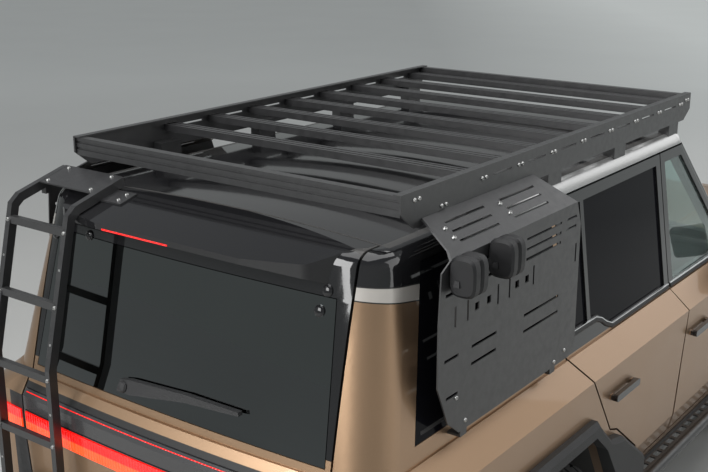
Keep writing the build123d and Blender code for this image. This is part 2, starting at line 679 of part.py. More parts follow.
def tail_glass():
    """The tailgate's flush window."""
    pane = (OUTER_UP - FLUSH_SPACE) & prism_y(offset_outline(TAIL_WINDOW, -29), 2000, 3000)
    return pane & box((-1200, 1200), (2000, 3000), (BELT_Z + FIT, 2000))


def light_bar():
    """The full-width red lamp in the tailgate."""
    band = lower_body(-LAMP_PROUD) - lower_body(LAMP_DEPTH - FIT)
    return band & prism_y(offset_outline(LIGHT_BAR, FIT), 2000, 3000)


def spoiler():
    """The roof's tail lip over the rear window, let into the tailgate."""
    wing = (spoiler_space() & roof_crown()) - over_tail()
    wing -= upper_body(SPOILER_SEAT, rounded=False)
    return max(wing.solids(), key=lambda s: s.volume)


# Wheels, knuckles and axles, made for the left side about the wheel's own axis
def ring(x, radius):
    """The corners of a regular polygon round the wheel axis with one flat on the ground."""
    turn = 180.0 / TYRE_SIDES
    corner = radius / math.cos(math.radians(turn))
    angles = [math.radians(-90 + turn + n * 2 * turn) for n in range(TYRE_SIDES)]
    return [(x, corner * math.cos(a), corner * math.sin(a)) for a in angles]


def turned_in_flats(profile):
    """A closed (x, radius) profile turned about the wheel axis in flat steps."""
    rings = [ring(x, radius) for x, radius in profile]
    faces = []
    for low, high in zip(rings, rings[1:] + rings[:1]):
        for n in range(TYRE_SIDES):
            corners = (low[n - 1], low[n], high[n], high[n - 1])
            faces.append(make_face(Polyline(*corners, close=True)))
    return Solid(Shell(faces))


def lathe_x(profile):
    """A closed (x, radius) profile turned about the wheel axis."""
    face = Plane.XY * make_face(Polyline(*profile, close=True))
    return revolve(face, Axis.X)


def tyre():
    """An off-road tyre, out to the tips of its lugs, with its middle plane at x = 0."""
    half, bead = TYRE_W / 2, RIM_W / 2 - 16
    side = ((half - 36, TYRE_R), (half - 10, 404), (half, 330), (half - 16, 290), (bead, RIM_R + 16),
            (bead, RIM_R + FIT))
    return turned_in_flats([*side, *[(-x, r) for x, r in reversed(side)]])


SPOKES = 6
STUD_CIRCLE_R = 139.7 / 2
WHEEL_X = TRACK / 2


def rim():
    """A spoked wheel with its hub and brake disc, its middle plane at x = 0."""
    half = RIM_W / 2
    wall = 12.0
    barrel = lathe_x((
        (-half, RIM_R - 4 - wall), (-half, RIM_R + 12), (10 - half, RIM_R + 12), (14 - half, RIM_R),
        (half - 14, RIM_R), (half - 10, RIM_R + 12), (half, RIM_R + 12), (half, RIM_R - 6 - wall),
        (half - 30, RIM_R - 14 - wall), (30 - half, RIM_R - 14 - wall),
    ))
    face_x = half - 34
    disc = cyl_x(0, 0, 96, face_x - 34, face_x - 4)
    spoke_outline = ((-34, 60), (-23, RIM_R - 22), (23, RIM_R - 22), (34, 60))
    spoke = extrude(Plane.YZ.offset(face_x - 26) * make_face(Polyline(*spoke_outline, close=True)), 34)
    spokes = [spoke.rotate(Axis.X, 360 / SPOKES * n) for n in range(SPOKES)]
    hub = cyl_x(0, 0, 74, HUB_FACE_X - WHEEL_X + FIT, face_x - 30)
    rotor = cyl_x(0, 0, 168, HUB_FACE_X - WHEEL_X + 8, HUB_FACE_X - WHEEL_X + 34)
    cap = cyl_x(0, 0, 42, face_x - 6, face_x + 16)
    wheel = barrel + disc + hub + rotor + cap
    for piece in spokes:
        wheel += piece
    for n in range(6):
        angle = math.radians(60 * n + 30)
        y, z = STUD_CIRCLE_R * math.cos(angle), STUD_CIRCLE_R * math.sin(angle)
        wheel += cyl_x(y, z, 11, face_x - 5, face_x + 10)
    return wheel


def at_wheel(shape, axle_y, side):
    """Moves a left-hand wheel piece to its axle, on the left (1) or right (-1)."""
    placed = Pos(WHEEL_X, axle_y, TYRE_R) * shape
    return one(placed if side > 0 else mirrored(placed))


KNUCKLE_X = (728.0, HUB_FACE_X)
CV_R = 48.0          # ball of the drive joint on the steering axis


def knuckle():
    """The left front steering knuckle with its brake caliper."""
    y, z = FRONT_AXLE_Y, TYRE_R
    low, high = KNUCKLE_X
    nose = KINGPIN_X - CV_R
    corner = CV_R * math.sqrt(0.5)
    bullet = Plane.XY * make_face([
        *ThreePointArc((nose, 0), (KINGPIN_X - corner, corner), (KINGPIN_X, CV_R)).edges(),
        *Polyline((KINGPIN_X, CV_R), (KINGPIN_X, 70), (high, 70), (high, 0), (nose, 0)).edges(),
    ])
    carrier = Pos(0, y, z) * revolve(bullet, Axis.X)
    carrier += box((low, low + 40), (y - 34, y + 34), (z - 125, z - 30))
    carrier += box((low, low + 40), (y - 34, y + 34), (z + 30, z + 128))
    caliper = box((HUB_FACE_X - 12, HUB_FACE_X + 54), (y + 98, y + 189), (z - 70, z + 70))
    caliper -= cyl_x(y, z, 174, HUB_FACE_X + 2, HUB_FACE_X + 40)
    caliper = Compound(caliper.solids()) & cyl_x(y, z, 190, 0, 1200)
    arm = box((KINGPIN_X - 20, high - 4), (y + 40, y + 120), (z - 30, z + 30))
    arm += box((KINGPIN_X - 20, high - 4), (y - 120, y - 40), (z - 24, z + 24))
    body = carrier + arm + caliper
    return max(body.solids(), key=lambda s: s.volume)


RAIL_X = (365.0, 445.0)
# Side view of a frame rail: place along the car, underside; the rail is this deep
RAIL_LINE = ((-2400, 505), (745, 505), (960, 640), (1660, 640), (1800, 560), (2335, 560))
RAIL_DEEP = 118.0
RAIL_TOP_Z = RAIL_LINE[0][1] + RAIL_DEEP
RAIL_ARCH_Z = RAIL_LINE[2][1] + RAIL_DEEP
# Rubber body mounts on the rail: place along the car, underside, top
BODY_MOUNTS = (
    (-980, RAIL_TOP_Z, FLOOR_Z - FIT), (-250, RAIL_TOP_Z, FLOOR_Z - FIT),
    (480, RAIL_TOP_Z, FLOOR_Z - FIT), (1060, RAIL_ARCH_Z, CARGO_Z - FIT),
    (1600, RAIL_ARCH_Z, CARGO_Z - FIT),
)


def frame_rails():
    """The two box rails of the ladder frame."""
    top = [(y, z + RAIL_DEEP) for y, z in reversed(RAIL_LINE)]
    rail = prism_x([*RAIL_LINE, *top], *RAIL_X)
    middle = sum(RAIL_X) / 2
    for y, low, high in BODY_MOUNTS:
        rail += Pos(middle, y, low) * Cylinder(34, high - low, align=(Align.CENTER, Align.CENTER, Align.MIN))
    return both_sides(rail)


# Crossmembers between the rails: place along the car, underside, height, depth along the car
CROSSMEMBERS = (
    (-2320, 520, 90, 60), (-1250, 517, 60, 90), (-330, 505, 30, 110), (820, 585, 60, 60),
    (1760, 600, 60, 60), (2270, 565, 75, 60),
)
HITCH_HALF = 38.0
HITCH_BORE = 25.5
HITCH_PIN_R = 8.2
HITCH_Z = 455.0
HITCH_LENGTH = 230.0


def crossmembers():
    """The cross tubes of the frame."""
    inner = RAIL_X[0]
    tubes = [box((-inner, inner), (y, y + deep), (z, z + tall)) for y, z, tall, deep in CROSSMEMBERS]
    return Compound([s for t in tubes for s in t.solids()])


def tow_receiver():
    """The square tow socket under the last crossmember, with its pin hole."""
    back = TAIL_Y - 30
    last_y, last_z, _, last_deep = CROSSMEMBERS[-1]
    outer = (-HITCH_HALF, HITCH_HALF)
    receiver = box(outer, (back - HITCH_LENGTH, back), (HITCH_Z - HITCH_HALF, HITCH_Z + HITCH_HALF))
    receiver += box(outer, (last_y, last_y + last_deep), (HITCH_Z, last_z - FIT))
    socket_z = (HITCH_Z - HITCH_BORE, HITCH_Z + HITCH_BORE)
    receiver -= box((-HITCH_BORE, HITCH_BORE), (back - HITCH_LENGTH + 20, back + 1), socket_z)
    return receiver - cyl_x(back - 60, HITCH_Z, HITCH_PIN_R, -100, 100)


ARM_Z = TYRE_R - 125 - FIT
ARM_TOP_Z = TYRE_R + 128 + FIT


def front_suspension():
    """Lower arms, coil-over dampers, drive shafts and steering gear of the front axle."""
    y = FRONT_AXLE_Y
    arm_plan = ((430, y - 150), (560, y - 38), (740, y - 30), (768, y), (740, y + 30), (560, y + 38),
                (430, y + 170), (430, y + 110), (520, y), (430, y - 90))
    arm = prism_z(arm_plan, ARM_Z - 34, ARM_Z)
    arm += box((405, 440), (y - 150, y + 170), (ARM_Z - 34, ARM_Z + 12))
    hanger = box((385, 425), (y - 60, y + 80), (ARM_Z, RAIL_LINE[0][1]))
    strut_foot, strut_top = (610, y + 70, ARM_Z - 6), (520, y + 70, 684)
    strut = rod(strut_foot, strut_top, 24) + rod((588, y + 70, 420), (527, y + 70, 665), 46)
    foot = box((560, 640), (y + 20, y + 96), (ARM_Z - 34, ARM_Z - 4))
    tower = box((445, 580), (y + 10, y + 130), (680, 694))
    tower += box((445, 457), (y + 10, y + 130), (560, 694))
    inner = RAIL_X[1] + FIT
    upper_plan = ((inner, y - 120), (480, y - 120), (600, y - 36), (745, y - 28), (768, y), (745, y + 28),
                  (600, y + 36), (inner, y + 36), (inner, y - 10), (560, y - 10), (470, y - 85),
                  (inner, y - 85))
    upper = prism_z(upper_plan, ARM_TOP_Z, ARM_TOP_Z + 22)
    side = arm + upper + hanger + strut + foot + tower
    shaft = rod((130, y, TYRE_R + 20), (KINGPIN_X - CV_R - 1, y, TYRE_R), 17)
    shaft += rod((150, y, TYRE_R + 20), (215, y, TYRE_R + 17), 46)
    diff = Pos(0, y, TYRE_R + 20) * Sphere(112)
    diff += cyl_x(y, TYRE_R + 20, 60, -170, 170)
    diff += box((-385, 385), (y + 95, y + 150), (ARM_Z - 20, ARM_Z + 30))
    diff += box((-60, 60), (y + 50, y + 120), (ARM_Z, TYRE_R))
    half = side + shaft + rod((395, y - 145, ARM_Z + 90), (655, y - 112, TYRE_R - 20), 11)
    rack = rod((-406, y - 145, ARM_Z + 90), (406, y - 145, ARM_Z + 90), 30)
    half += box((390, 420), (y - 179, y - 111), (ARM_Z - 10, RAIL_LINE[0][1]))
    return one(half + mirrored(half) + diff + rack)


LINK_X = 500.0
SPRING_X = 405.0


def rear_axle():
    """The live rear axle with its springs, dampers and trailing links."""
    y, z = REAR_AXLE_Y, TYRE_R
    beam = cyl_x(y, z, 44, -HUB_FACE_X + FIT, HUB_FACE_X - FIT) + Pos(0, y, z) * Sphere(142)
    beam += rod((0, y - 100, z), (0, y - 200, z + 8), 52)
    side = cyl_x(y, z, 72, HUB_FACE_X - 40, HUB_FACE_X - FIT)
    side += rod((SPRING_X, y, z + 30), (SPRING_X, y, RAIL_LINE[2][1] - FIT), 58)
    side += rod((560, y + 70, z - 50), (476, y + 110, 700), 26)
    side += box((530, 590), (y - 20, y + 95), (z - 70, z - 20))
    side += box((RAIL_X[1] + FIT, 490), (y + 90, y + 130), (660, 740))
    side += rod((LINK_X, y - 30, z - 70), (LINK_X, 560, 520), 24)
    side += box((470, 530), (y - 60, y + 20), (z - 95, z - 20))
    side += cyl_x(560, 520, 36, RAIL_X[1] + FIT, 530)
    return one(beam + side + mirrored(side))


ENGINE = ((-290, 290), (-1880, -1150), (632, 1055))


def engine_block():
    """The engine, one plain block at its place, on its mounts."""
    block = box(*ENGINE)
    mount = box((280, RAIL_X[1] - 10), (-1560, -1440), (RAIL_TOP_Z + FIT, 680))
    return block + mount + mirrored(mount)


def driveline():
    """Gearbox, transfer case and the two propeller shafts."""
    gearbox = loft([
        Plane.XZ.offset(1149.5) * Pos(0, 560) * Rectangle(330, 150),
        Plane.XZ.offset(860) * Pos(0, 550) * Rectangle(230, 160),
        Plane.XZ.offset(420) * Pos(0, 550) * Rectangle(190, 140),
    ], ruled=True)
    bell = box((-200, 200), (-1149.5, -1065), (632, 760))
    case = box((-95, 230), (-420, -215), (475, 628)) - box((-400, 400), (-330, -220), (500, 536))
    front = rod((170, -1450, TYRE_R + 24), (170, -420, 560), 27)
    rear = rod((0, -216, 560), (0, REAR_AXLE_Y - 201, TYRE_R + 8), 38)
    return max((gearbox + bell + case + front + rear).solids(), key=lambda s: s.volume)


def exhaust():
    """The exhaust pipe with its silencer, out under the right rear corner."""
    route = ((-235, -1120, 585), (-250, -900, 470), (-250, 300, 470), (-250, 760, 500),
             (-250, 1130, 590), (-250, 1430, 590), (-520, 1850, 500), (-560, 2395, 500))
    line = FilletPolyline(*route, radius=70)
    pipe = sweep(Plane(line @ 0, z_dir=line % 0) * Circle(29), line)
    silencer = fillet(box((-345, -160), (150, 620), (405, 535)).edges().filter_by(Axis.Y), 45)
    front_hanger = box((-262, -238), (-300, -276), (480, CROSSMEMBERS[2][1] - FIT))
    rear_hanger = box((-550, -RAIL_X[1] - FIT), (2090, 2112), (505, 580))
    return pipe + silencer + front_hanger + rear_hanger


def fuel_tank():
    """The tank between the left rail and the propeller shaft."""
    tank = box((75, 350), (-120, 610), (452, 632))
    tank = chamfer(tank.edges().filter_by(Axis.Y).group_by(Axis.Z)[0], 35)
    strap = box((75, RAIL_X[0]), (100, 140), (600, 622))
    return tank + strap


# Interior
SEAT_X = 372.0
SEAT_PROFILE = ((-230, 670.3), (-250, 965), (-225, 1000), (190, 978), (318, 1560), (430, 1590),
                (470, 1565), (345, 930), (300, 670.3))
BENCH_PROFILE = ((735, 830.3), (640, 905), (620, 1000), (1060, 975), (1150, 1540), (1250, 1560),
                 (1275, 1530), (1180, 900), (1160, 830.3))


def seats():
    """Two front seats and the rear bench with their head restraints."""
    seat = prism_x(SEAT_PROFILE, SEAT_X - 255, SEAT_X + 255)
    seat = fillet([e for e in seat.edges().filter_by(Axis.X) if e.center().Z > 700], 22)
    head = Pos(SEAT_X, 425, 1660) * Box(270, 95, 165)
    head = fillet(head.edges(), 30)
    post = box((SEAT_X - 60, SEAT_X + 60), (405, 425), (1560, 1660))
    front = seat + head + post
    bench = prism_x(BENCH_PROFILE, -590, 590)
    bench = fillet([e for e in bench.edges().filter_by(Axis.X) if e.center().Z > 900], 22)
    for x in (-390, 0, 390):
        head = Pos(x, 1225, 1635) * Box(250, 85, 130)
        bench += fillet(head.edges(), 28) + box((x - 50, x + 50), (1205, 1225), (1530, 1640))
    return Compound([*front.solids(), *mirrored(front).solids(), *bench.solids()])


def dashboard():
    """The instrument panel with the centre console."""
    profile = ((-1009, 880), (-1009, 1180), (-800, 1212), (-640, 1196), (-570, 1110), (-590, 960),
               (-700, 880))
    board = prism_x(profile, -800, 800)
    hood = prism_x(((-700, 1196), (-640, 1218), (-560, 1205), (-560, 1150), (-640, 1140)), 220, 540)
    console = box((-115, 115), (-760, 250), (670.3, 930))
    screen = box((-170, 150), (-620, -590), (1130, 1222))
    return board + hood + console + screen


WHEEL_RING_R = 178.0


def steering_wheel():
    """The steering wheel and its column on the left."""
    tilt = Location((SEAT_X, -430, 1135), (65, 0, 0))
    ring = tilt * Torus(WHEEL_RING_R, 15)
    boss = tilt * Cylinder(48, 40)
    spokes = tilt * Box(2 * WHEEL_RING_R, 34, 16)
    spokes += tilt * (Pos(0, -WHEEL_RING_R / 2, 0) * Box(30, WHEEL_RING_R, 16))
    column = rod((SEAT_X, -435, 1133), (SEAT_X, -600, 1056), 30)
    return max((ring + boss + spokes + column - dashboard()).solids(), key=lambda s: s.volume)


# Roof rack
RACK_X = 742.0
RACK_T = 8.0
RACK_Y = (-361.0, 2061.0)
RACK_Z = (1955.0, 2075.0)
RACK_FEET = (-250.0, 350.0, 950.0, 1550.0)
FOOT_LONG = 110.0
BAR_Y = -239.0       # middle of the first slotted bar
BAR_PITCH = 257.0
BAR_COUNT = 8
BAR_Z = (2022.0, 2050.0)
BAR_DEPTH = 62.0
END_BAR = 34.0
SLOT = (10.0, 8.0)   # a slot along a bar: width, depth
RAIL_SLOT = (130.0, 8.0)


def bar_middles():
    """Where the slotted cross bars lie."""
    return [BAR_Y + BAR_PITCH * n for n in range(BAR_COUNT)]


def rack_rails():
    """The rack's deep slotted side plates with their feet on the roof."""
    front, back = RACK_Y
    low, high = RACK_Z
    outline = ((front, low + 45), (front, high), (back, high), (back, high - 62), (back - 75, low),
               (front + 70, low))
    rail = prism_x(outline, RACK_X, RACK_X + RACK_T)
    rail += prism_x(((front, high - 5), (front, high), (back, high), (back, high - 5)),
                    RACK_X - 22, RACK_X + RACK_T)
    long, tall = RAIL_SLOT
    for y in bar_middles()[:-1]:
        middle = y + BAR_PITCH / 2
        rail -= box((RACK_X - 1, RACK_X + RACK_T + 1), (middle - long / 2, middle + long / 2),
                    (high - 44, high - 44 + tall))
    for y in RACK_FEET:
        rail += box((RACK_X - 50, RACK_X), (y, y + FOOT_LONG), (1860, low + 30)) - OUTER_UP
    return both_sides(max(rail.solids(), key=lambda s: s.volume))


def rack_bars():
    """The slotted cross bars and the deeper grooved end bars."""
    front, back = RACK_Y
    low, high = BAR_Z
    across = (-RACK_X, RACK_X)
    wide, deep = SLOT
    bars = []
    for middle in bar_middles():
        bar = box(across, (middle - BAR_DEPTH / 2, middle + BAR_DEPTH / 2), (low, high))
        for y in (middle - 14, middle + 14):
            bar -= box(across, (y - wide / 2, y + wide / 2), (high - deep, high + 1))
        bars.append(bar)
    for y, face in ((front + 8, front + 8), (back - 8 - END_BAR, back - 8)):
        bar = box(across, (y, y + END_BAR), (low - 20, RACK_Z[1] - 5 - FIT))
        for z in (low + 2, low + 26):
            bar -= box(across, (face - 5, face + 5), (z, z + 9))
        bars.append(bar)
    return Compound([s for b in bars for s in b.solids()])


# Side panels over the rear quarter windows: (x, z) of the foot, the fold and the top edge
PANEL_T = 5.0
PANEL_FOOT = (912.0, 1290.0)
PANEL_FOLD = (908.0, 1890.0)
PANEL_TOP = (RACK_X + RACK_T + 1, 1980.0)
# The panel's side view, from its lower rear corner upwards and forwards
PANEL_OUTLINE = ((1947, 1290), (2016, 1345), (2081, 1486), (2081, 1696), (2070, 1860), (1990, 1905),
                 (1940, 1985), (1206, 1985), (1148, 1890), (1112, 1800), (1112, 1340), (1160, 1290))
# Slots in the panel, as (front, rear) and (low, high)
PANEL_SLOTS = (
    ((1270, 1530), (1761, 1772)), ((1270, 1530), (1798, 1807)), ((1150, 1230), (1798, 1807)),
    ((1270, 1530), (1834, 1843)), ((1150, 1230), (1834, 1843)), ((1650, 1880), (1836, 1848)),
    ((1560, 1860), (1775, 1786)), ((1960, 2045), (1775, 1786)),
    ((1720, 1880), (1560, 1570)), ((1960, 2045), (1560, 1570)), ((1270, 1530), (1560, 1570)),
    ((1960, 2030), (1430, 1440)), ((1270, 1530), (1500, 1510)), ((1720, 1880), (1500, 1510)),
)
UPRIGHT_SLOTS = (1985, 1910, 1718, 1641, 1471, 1144)
UPRIGHT_SLOT_Z = (1662.0, 1732.0)
SQUARE_HOLES = (1853, 1777, 1589, 1519)
SQUARE_HOLE_Z = (1683.0, 1709.0)
TOP_SLOT_ROWS = (1912, 1933, 1954)
TOP_SLOT_COLUMNS = ((1300, 1545), (1650, 1895))
ROW_SHIFT = 0.55     # how far the top rows follow the panel's slanted ends for each mm of height
PANEL_BRACKETS = (1260.0, 1890.0)    # front edges of the brackets on the belt
PANEL_TABS = (1400.0, 1760.0)        # front edges of the tabs on the rack


def panel_sheet():
    """The folded and slotted sheet of one side panel."""
    (x0, z0), (x1, z1), (x2, z2) = PANEL_FOOT, PANEL_FOLD, PANEL_TOP
    t = PANEL_T
    outline = [(x0, z0), (x1, z1), (x2, z2), (x2, z2 - t * 1.2), (x1 - t, z1 - t * 0.5), (x0 - t, z0)]
    sheet = prism_y(outline, 1000, 2400) & prism_x(PANEL_OUTLINE, 600, 1200)
    slots = list(PANEL_SLOTS)
    slots += [((y - 5, y + 5), UPRIGHT_SLOT_Z) for y in UPRIGHT_SLOTS]
    slots += [((y - 13, y + 13), SQUARE_HOLE_Z) for y in SQUARE_HOLES]
    for z in TOP_SLOT_ROWS:
        shift = (z - TOP_SLOT_ROWS[0]) * ROW_SHIFT
        slots += [((front - shift, rear - shift), (z, z + 5)) for front, rear in TOP_SLOT_COLUMNS]
    for y, z in slots:
        sheet -= box((600, 1200), y, z)
    return sheet


def side_panels():
    """Both side panels, on brackets from the belt and tabs from the rack."""
    foot_x, foot_z = PANEL_FOOT
    sheet = panel_sheet()
    for y in PANEL_BRACKETS:
        foot = box((830, foot_x - PANEL_T), (y, y + 40), (foot_z - 26, foot_z - 18))
        tab = box((foot_x - 2 * PANEL_T, foot_x - PANEL_T + 0.5), (y, y + 40), (foot_z - 26, foot_z + 60))
        bracket = (foot + tab) - OUTER
        sheet += max(bracket.solids(), key=lambda s: s.volume)
    outer_x = RACK_X + RACK_T
    inside = prism_y(((outer_x, 1900), (outer_x, 1990), PANEL_TOP, PANEL_FOLD), 1000, 2400)
    for y in PANEL_TABS:
        tab = box((outer_x, outer_x + 30), (y, y + 50), (PANEL_TOP[1] - 25, PANEL_TOP[1] + 5))
        sheet += tab & inside
    return both_sides(max(sheet.solids(), key=lambda s: s.volume))


CLAMP_Z = 1845.0
CLAMP_Y = (1990.0, 1755.0)
CLAMP_JAW = (84.0, 46.0, 128.0)      # depth, width and height of one rubber jaw
CLAMP_PLATE = (12.0, 100.0, 76.0)


def panel_clamps():
    """Rubber tool clamps on the right side panel, each of two rounded jaws on a plate."""
    (foot_x, foot_z), (fold_x, fold_z) = PANEL_FOOT, PANEL_FOLD
    lean = math.degrees(math.atan2(foot_x - fold_x, fold_z - foot_z))
    face_x = foot_x - (foot_x - fold_x) * (CLAMP_Z - foot_z) / (fold_z - foot_z)
    deep, wide, tall = CLAMP_JAW
    clamps = []
    for y in CLAMP_Y:
        seat = Location((-face_x - FIT, y, CLAMP_Z), (0, lean, 0))
        clamp = Pos(-CLAMP_PLATE[0] / 2, 0, 0) * Box(*CLAMP_PLATE)
        for shift in (-wide / 2 - 1, wide / 2 + 1):
            jaw = Pos(-CLAMP_PLATE[0] + 2 - deep / 2, shift, 0) * Box(deep, wide, tall)
            clamp += fillet(jaw.edges().filter_by(Axis.Y), 20)
        clamps.append(seat * clamp)
    return Compound([s for c in clamps for s in c.solids()])


# Ladder on the tailgate's left half
LADDER_X = (449.0, 757.0)        # middles of the two rails
LADDER_RAIL = (24.0, 34.0)
LADDER_RISE = 22.0               # from the roof's tail to the middle of the rails
LADDER_BACK = (2479.0, 1335.0)   # where the rails turn upright
LADDER_LOW_Z = 720.0
RUNG_HEIGHTS = (1818, 1560, 1302, 1044, 786)
RUNG = (22.0, 28.0)
LADDER_PLATE_Y = (2098.0, 2232.0)
LADDER_FLANGE = 110.0            # reach of the seat plate beside the inner rail
# The middle line of a rail in side view, from the roof's seam backwards and down
LADDER_PATH = (
    (LADDER_PLATE_Y[0], tail_z(LADDER_PLATE_Y[0]) + LADDER_RISE),
    (SPOILER_TIP_Y - 16, tail_z(SPOILER_TIP_Y - 16) + LADDER_RISE),
    (SPOILER_TIP_Y + 14, LIP_TOP_Z + 2), LADDER_BACK, (LADDER_BACK[0], LADDER_LOW_Z),
)


def ladder_y(z):
    """The middle of the ladder's rails at a height below the roof."""
    points = LADDER_PATH[2:]
    for (y0, z0), (y1, z1) in zip(points, points[1:]):
        if z >= z1:
            return y0 + (y1 - y0) * (z - z0) / (z1 - z0)
    return points[-1][0]


def ladder():
    """The rear ladder: two bent rails, level rungs, a top plate and what seats them."""
    wide, deep = LADDER_RAIL
    left, right = LADDER_X
    path = Polyline(*[(0, y, z) for y, z in LADDER_PATH])
    (y0, z0), (y1, z1), *_ = LADDER_PATH
    start = Plane((0, y0, z0), x_dir=(1, 0, 0), z_dir=(0, y1 - y0, z1 - z0))
    rail = sweep(start * Rectangle(wide, deep), path, transition=Transition.RIGHT)
    frame = rail.moved(Location((left, 0, 0))) + rail.moved(Location((right, 0, 0)))
    for z in RUNG_HEIGHTS:
        y = ladder_y(z) + deep / 2 - 1
        frame += box((left, right), (y - RUNG[0], y), (z - RUNG[1] / 2, z + RUNG[1] / 2))
    front, back = LADDER_PLATE_Y
    top = LADDER_RISE + deep / 2
    frame += prism_x([(front, tail_z(front) + top - 5), (back, tail_z(back) + top - 5),
                      (back, tail_z(back) + top), (front, tail_z(front) + top)], left, right)
    seat_y = (ROOF_SEAM_Y + 52, ROOF_SEAM_Y + 132)
    seat = [(y, tail_z(y) + FIT) for y in seat_y] + [(y, tail_z(y) + 6) for y in reversed(seat_y)]
    frame += prism_x(seat, left - LADDER_FLANGE, left + wide / 2)
    foot_z = LADDER_LOW_Z + 40
    for x in LADDER_X:
        foot = box((x - 12, x + 12), (2380, LADDER_BACK[0]), (foot_z - 19, foot_z + 19)) - OUTER
        hook = box((x - 12, x + 12), (seat_y[1] - 30, seat_y[1]), (1880, tail_z(seat_y[1]) + 20)) - OUTER
        for piece in (foot, hook):
            frame += max(piece.solids(), key=lambda s: s.volume)
    return max(frame.solids(), key=lambda s: s.volume)


WIPER = ((206, 1296), (194, 1338), (150, 1346), (-120, 1362), (-348, 1362), (-352, 1350),
         (-120, 1336), (140, 1296))
WIPER_PIVOT = (176.0, 1317.0)


def rear_wiper():
    """The parked rear wiper: a tapered arm over its blade, on a pivot through the glass."""
    x, z = WIPER_PIVOT
    arm = upper_body(-30, rounded=False) - upper_body(-10, rounded=False)
    arm &= prism_y(WIPER, 2200, 2600)
    pivot = Plane((x, 2300, z), z_dir=(0, 1, 0)) * Cylinder(19, 400)
    pivot &= upper_body(-20, rounded=False) - upper_body(-FIT, rounded=False)
    rear = [s for s in pivot.solids() if s.center().Y > 2200]
    return max((arm + rear[0]).solids(), key=lambda s: s.volume)


# Side steps
STEP_X = 985.0
STEP_Z = 475.0
STEP_Y = (-950.0, 690.0)
STEP_TUBE_R = 23.0
STEP_SILL = ((862.0, 912.0), (452.0, 498.0))     # the inner beam's (low, high) in x and z
STEP_LEGS = (-620.0, 0.0, 440.0)
STEP_SLOT = (56.0, 26.0)
STEP_SLOT_PITCH = 78.0


def rock_sliders():
    """A tube step and a sill beam each side, with a slotted tread between, on legs from the frame."""
    front, back = STEP_Y
    x, z = STEP_SILL
    middle = sum(x) / 2
    tube = FilletPolyline((middle + 18, front + 20, STEP_Z), (STEP_X, front + 130, STEP_Z),
                          (STEP_X, back - 130, STEP_Z), (middle + 18, back - 20, STEP_Z), radius=60)
    step = sweep(Plane(tube @ 0, z_dir=tube % 0) * Circle(STEP_TUBE_R), tube)
    step += box(x, STEP_Y, z)
    tread = box((x[1] - 2, STEP_X - 8), (front + 140, back - 140), (STEP_Z + 8, STEP_Z + 14))
    slots = int((back - front - 320) / STEP_SLOT_PITCH)
    long, wide = STEP_SLOT
    for n in range(slots):
        y = front + 170 + n * STEP_SLOT_PITCH
        tread -= box((x[1] + 12, x[1] + 12 + wide), (y, y + long), (STEP_Z, STEP_Z + 30))
    step += tread
    for y in STEP_LEGS:
        step += box((RAIL_X[1], x[0] + 8), (y, y + 50), (z[0] + 5, z[1] - 5))
        step += box((RAIL_X[1], RAIL_X[1] + 40), (y, y + 50), (z[1] - 18, RAIL_LINE[0][1] + 55))
    return both_sides(step)


def build():
    """Every node by name."""
    shell = cabin_shell()
    left_side = body_side(shell)
    nodes = {
        "floor_pan": floor_pan(shell), "wheel_housings": wheel_housings(shell),
        "roof_frame": roof_frame(shell),
        "body_side_left": one(left_side), "body_side_right": one(mirrored(left_side)),
        "roof_panel": roof_panel(), "front_fenders": front_fenders(),
        "nose_panel": nose_panel(), "grille": grille(), "headlamps": headlamps(),
        "tail_lamps": tail_lamps(), "front_bumper": front_bumper(), "rear_bumper": rear_bumper(),
        "windscreen": windscreen(), "quarter_glass": quarter_glass(), "arch_flares": arch_flares(),
        "hood": hood(), "tailgate": tailgate(), "tail_glass": tail_glass(), "light_bar": light_bar(),
        "spoiler": spoiler(), "ladder": ladder(), "rear_wiper": rear_wiper(),
        "frame_rails": frame_rails(), "crossmembers": crossmembers(), "tow_receiver": tow_receiver(),
        "front_suspension": front_suspension(), "rear_axle": rear_axle(),
        "engine_block": engine_block(), "driveline": driveline(), "exhaust": exhaust(),
        "fuel_tank": fuel_tank(), "seats": seats(), "dashboard": dashboard(),
        "steering_wheel": steering_wheel(), "rack_rails": rack_rails(), "rack_bars": rack_bars(),
        "side_panels": side_panels(), "panel_clamps": panel_clamps(), "rock_sliders": rock_sliders(),
    }
    front_door = with_handle(door(FRONT_DOOR, FRONT_SHUT_Y, [FRONT_WINDOW]), FRONT_HANDLE_Y)
    rear_door = with_handle(door(REAR_DOOR, REAR_SHUT_Y, [REAR_WINDOW, REAR_LIGHT]), REAR_HANDLE_Y)
    front_panes = door_glass([FRONT_WINDOW])
    rear_panes = door_glass([REAR_WINDOW, REAR_LIGHT])
    left_mirror = mirror_left()
    for side, turn in (("left", one), ("right", lambda s: one(mirrored(s)))):
        nodes[f"front_door_{side}"] = turn(front_door)
        nodes[f"rear_door_{side}"] = turn(rear_door)
        nodes[f"front_pane_{side}"] = turn(front_panes)
        nodes[f"rear_pane_{side}"] = turn(rear_panes)
        nodes[f"mirror_{side}"] = turn(left_mirror)
        nodes[f"knuckle_{side}"] = turn(knuckle())
    tyre_shape, rim_shape = tyre(), rim()
    for end, axle_y in (("front", FRONT_AXLE_Y), ("rear", REAR_AXLE_Y)):
        for side, sign in (("left", 1), ("right", -1)):
            nodes[f"tyre_{end}_{side}"] = at_wheel(tyre_shape, axle_y, sign)
            nodes[f"rim_{end}_{side}"] = at_wheel(rim_shape, axle_y, sign)
    return nodes


if __name__ == "__main__":
    os.makedirs("parts", exist_ok=True)
    for name, shape in build().items():
        export_step(one(shape), f"parts/{name}.step")
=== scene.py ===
"""The looks of the lifted off-road estate car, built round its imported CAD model."""

import math
import bpy
from mathutils import Matrix, Vector


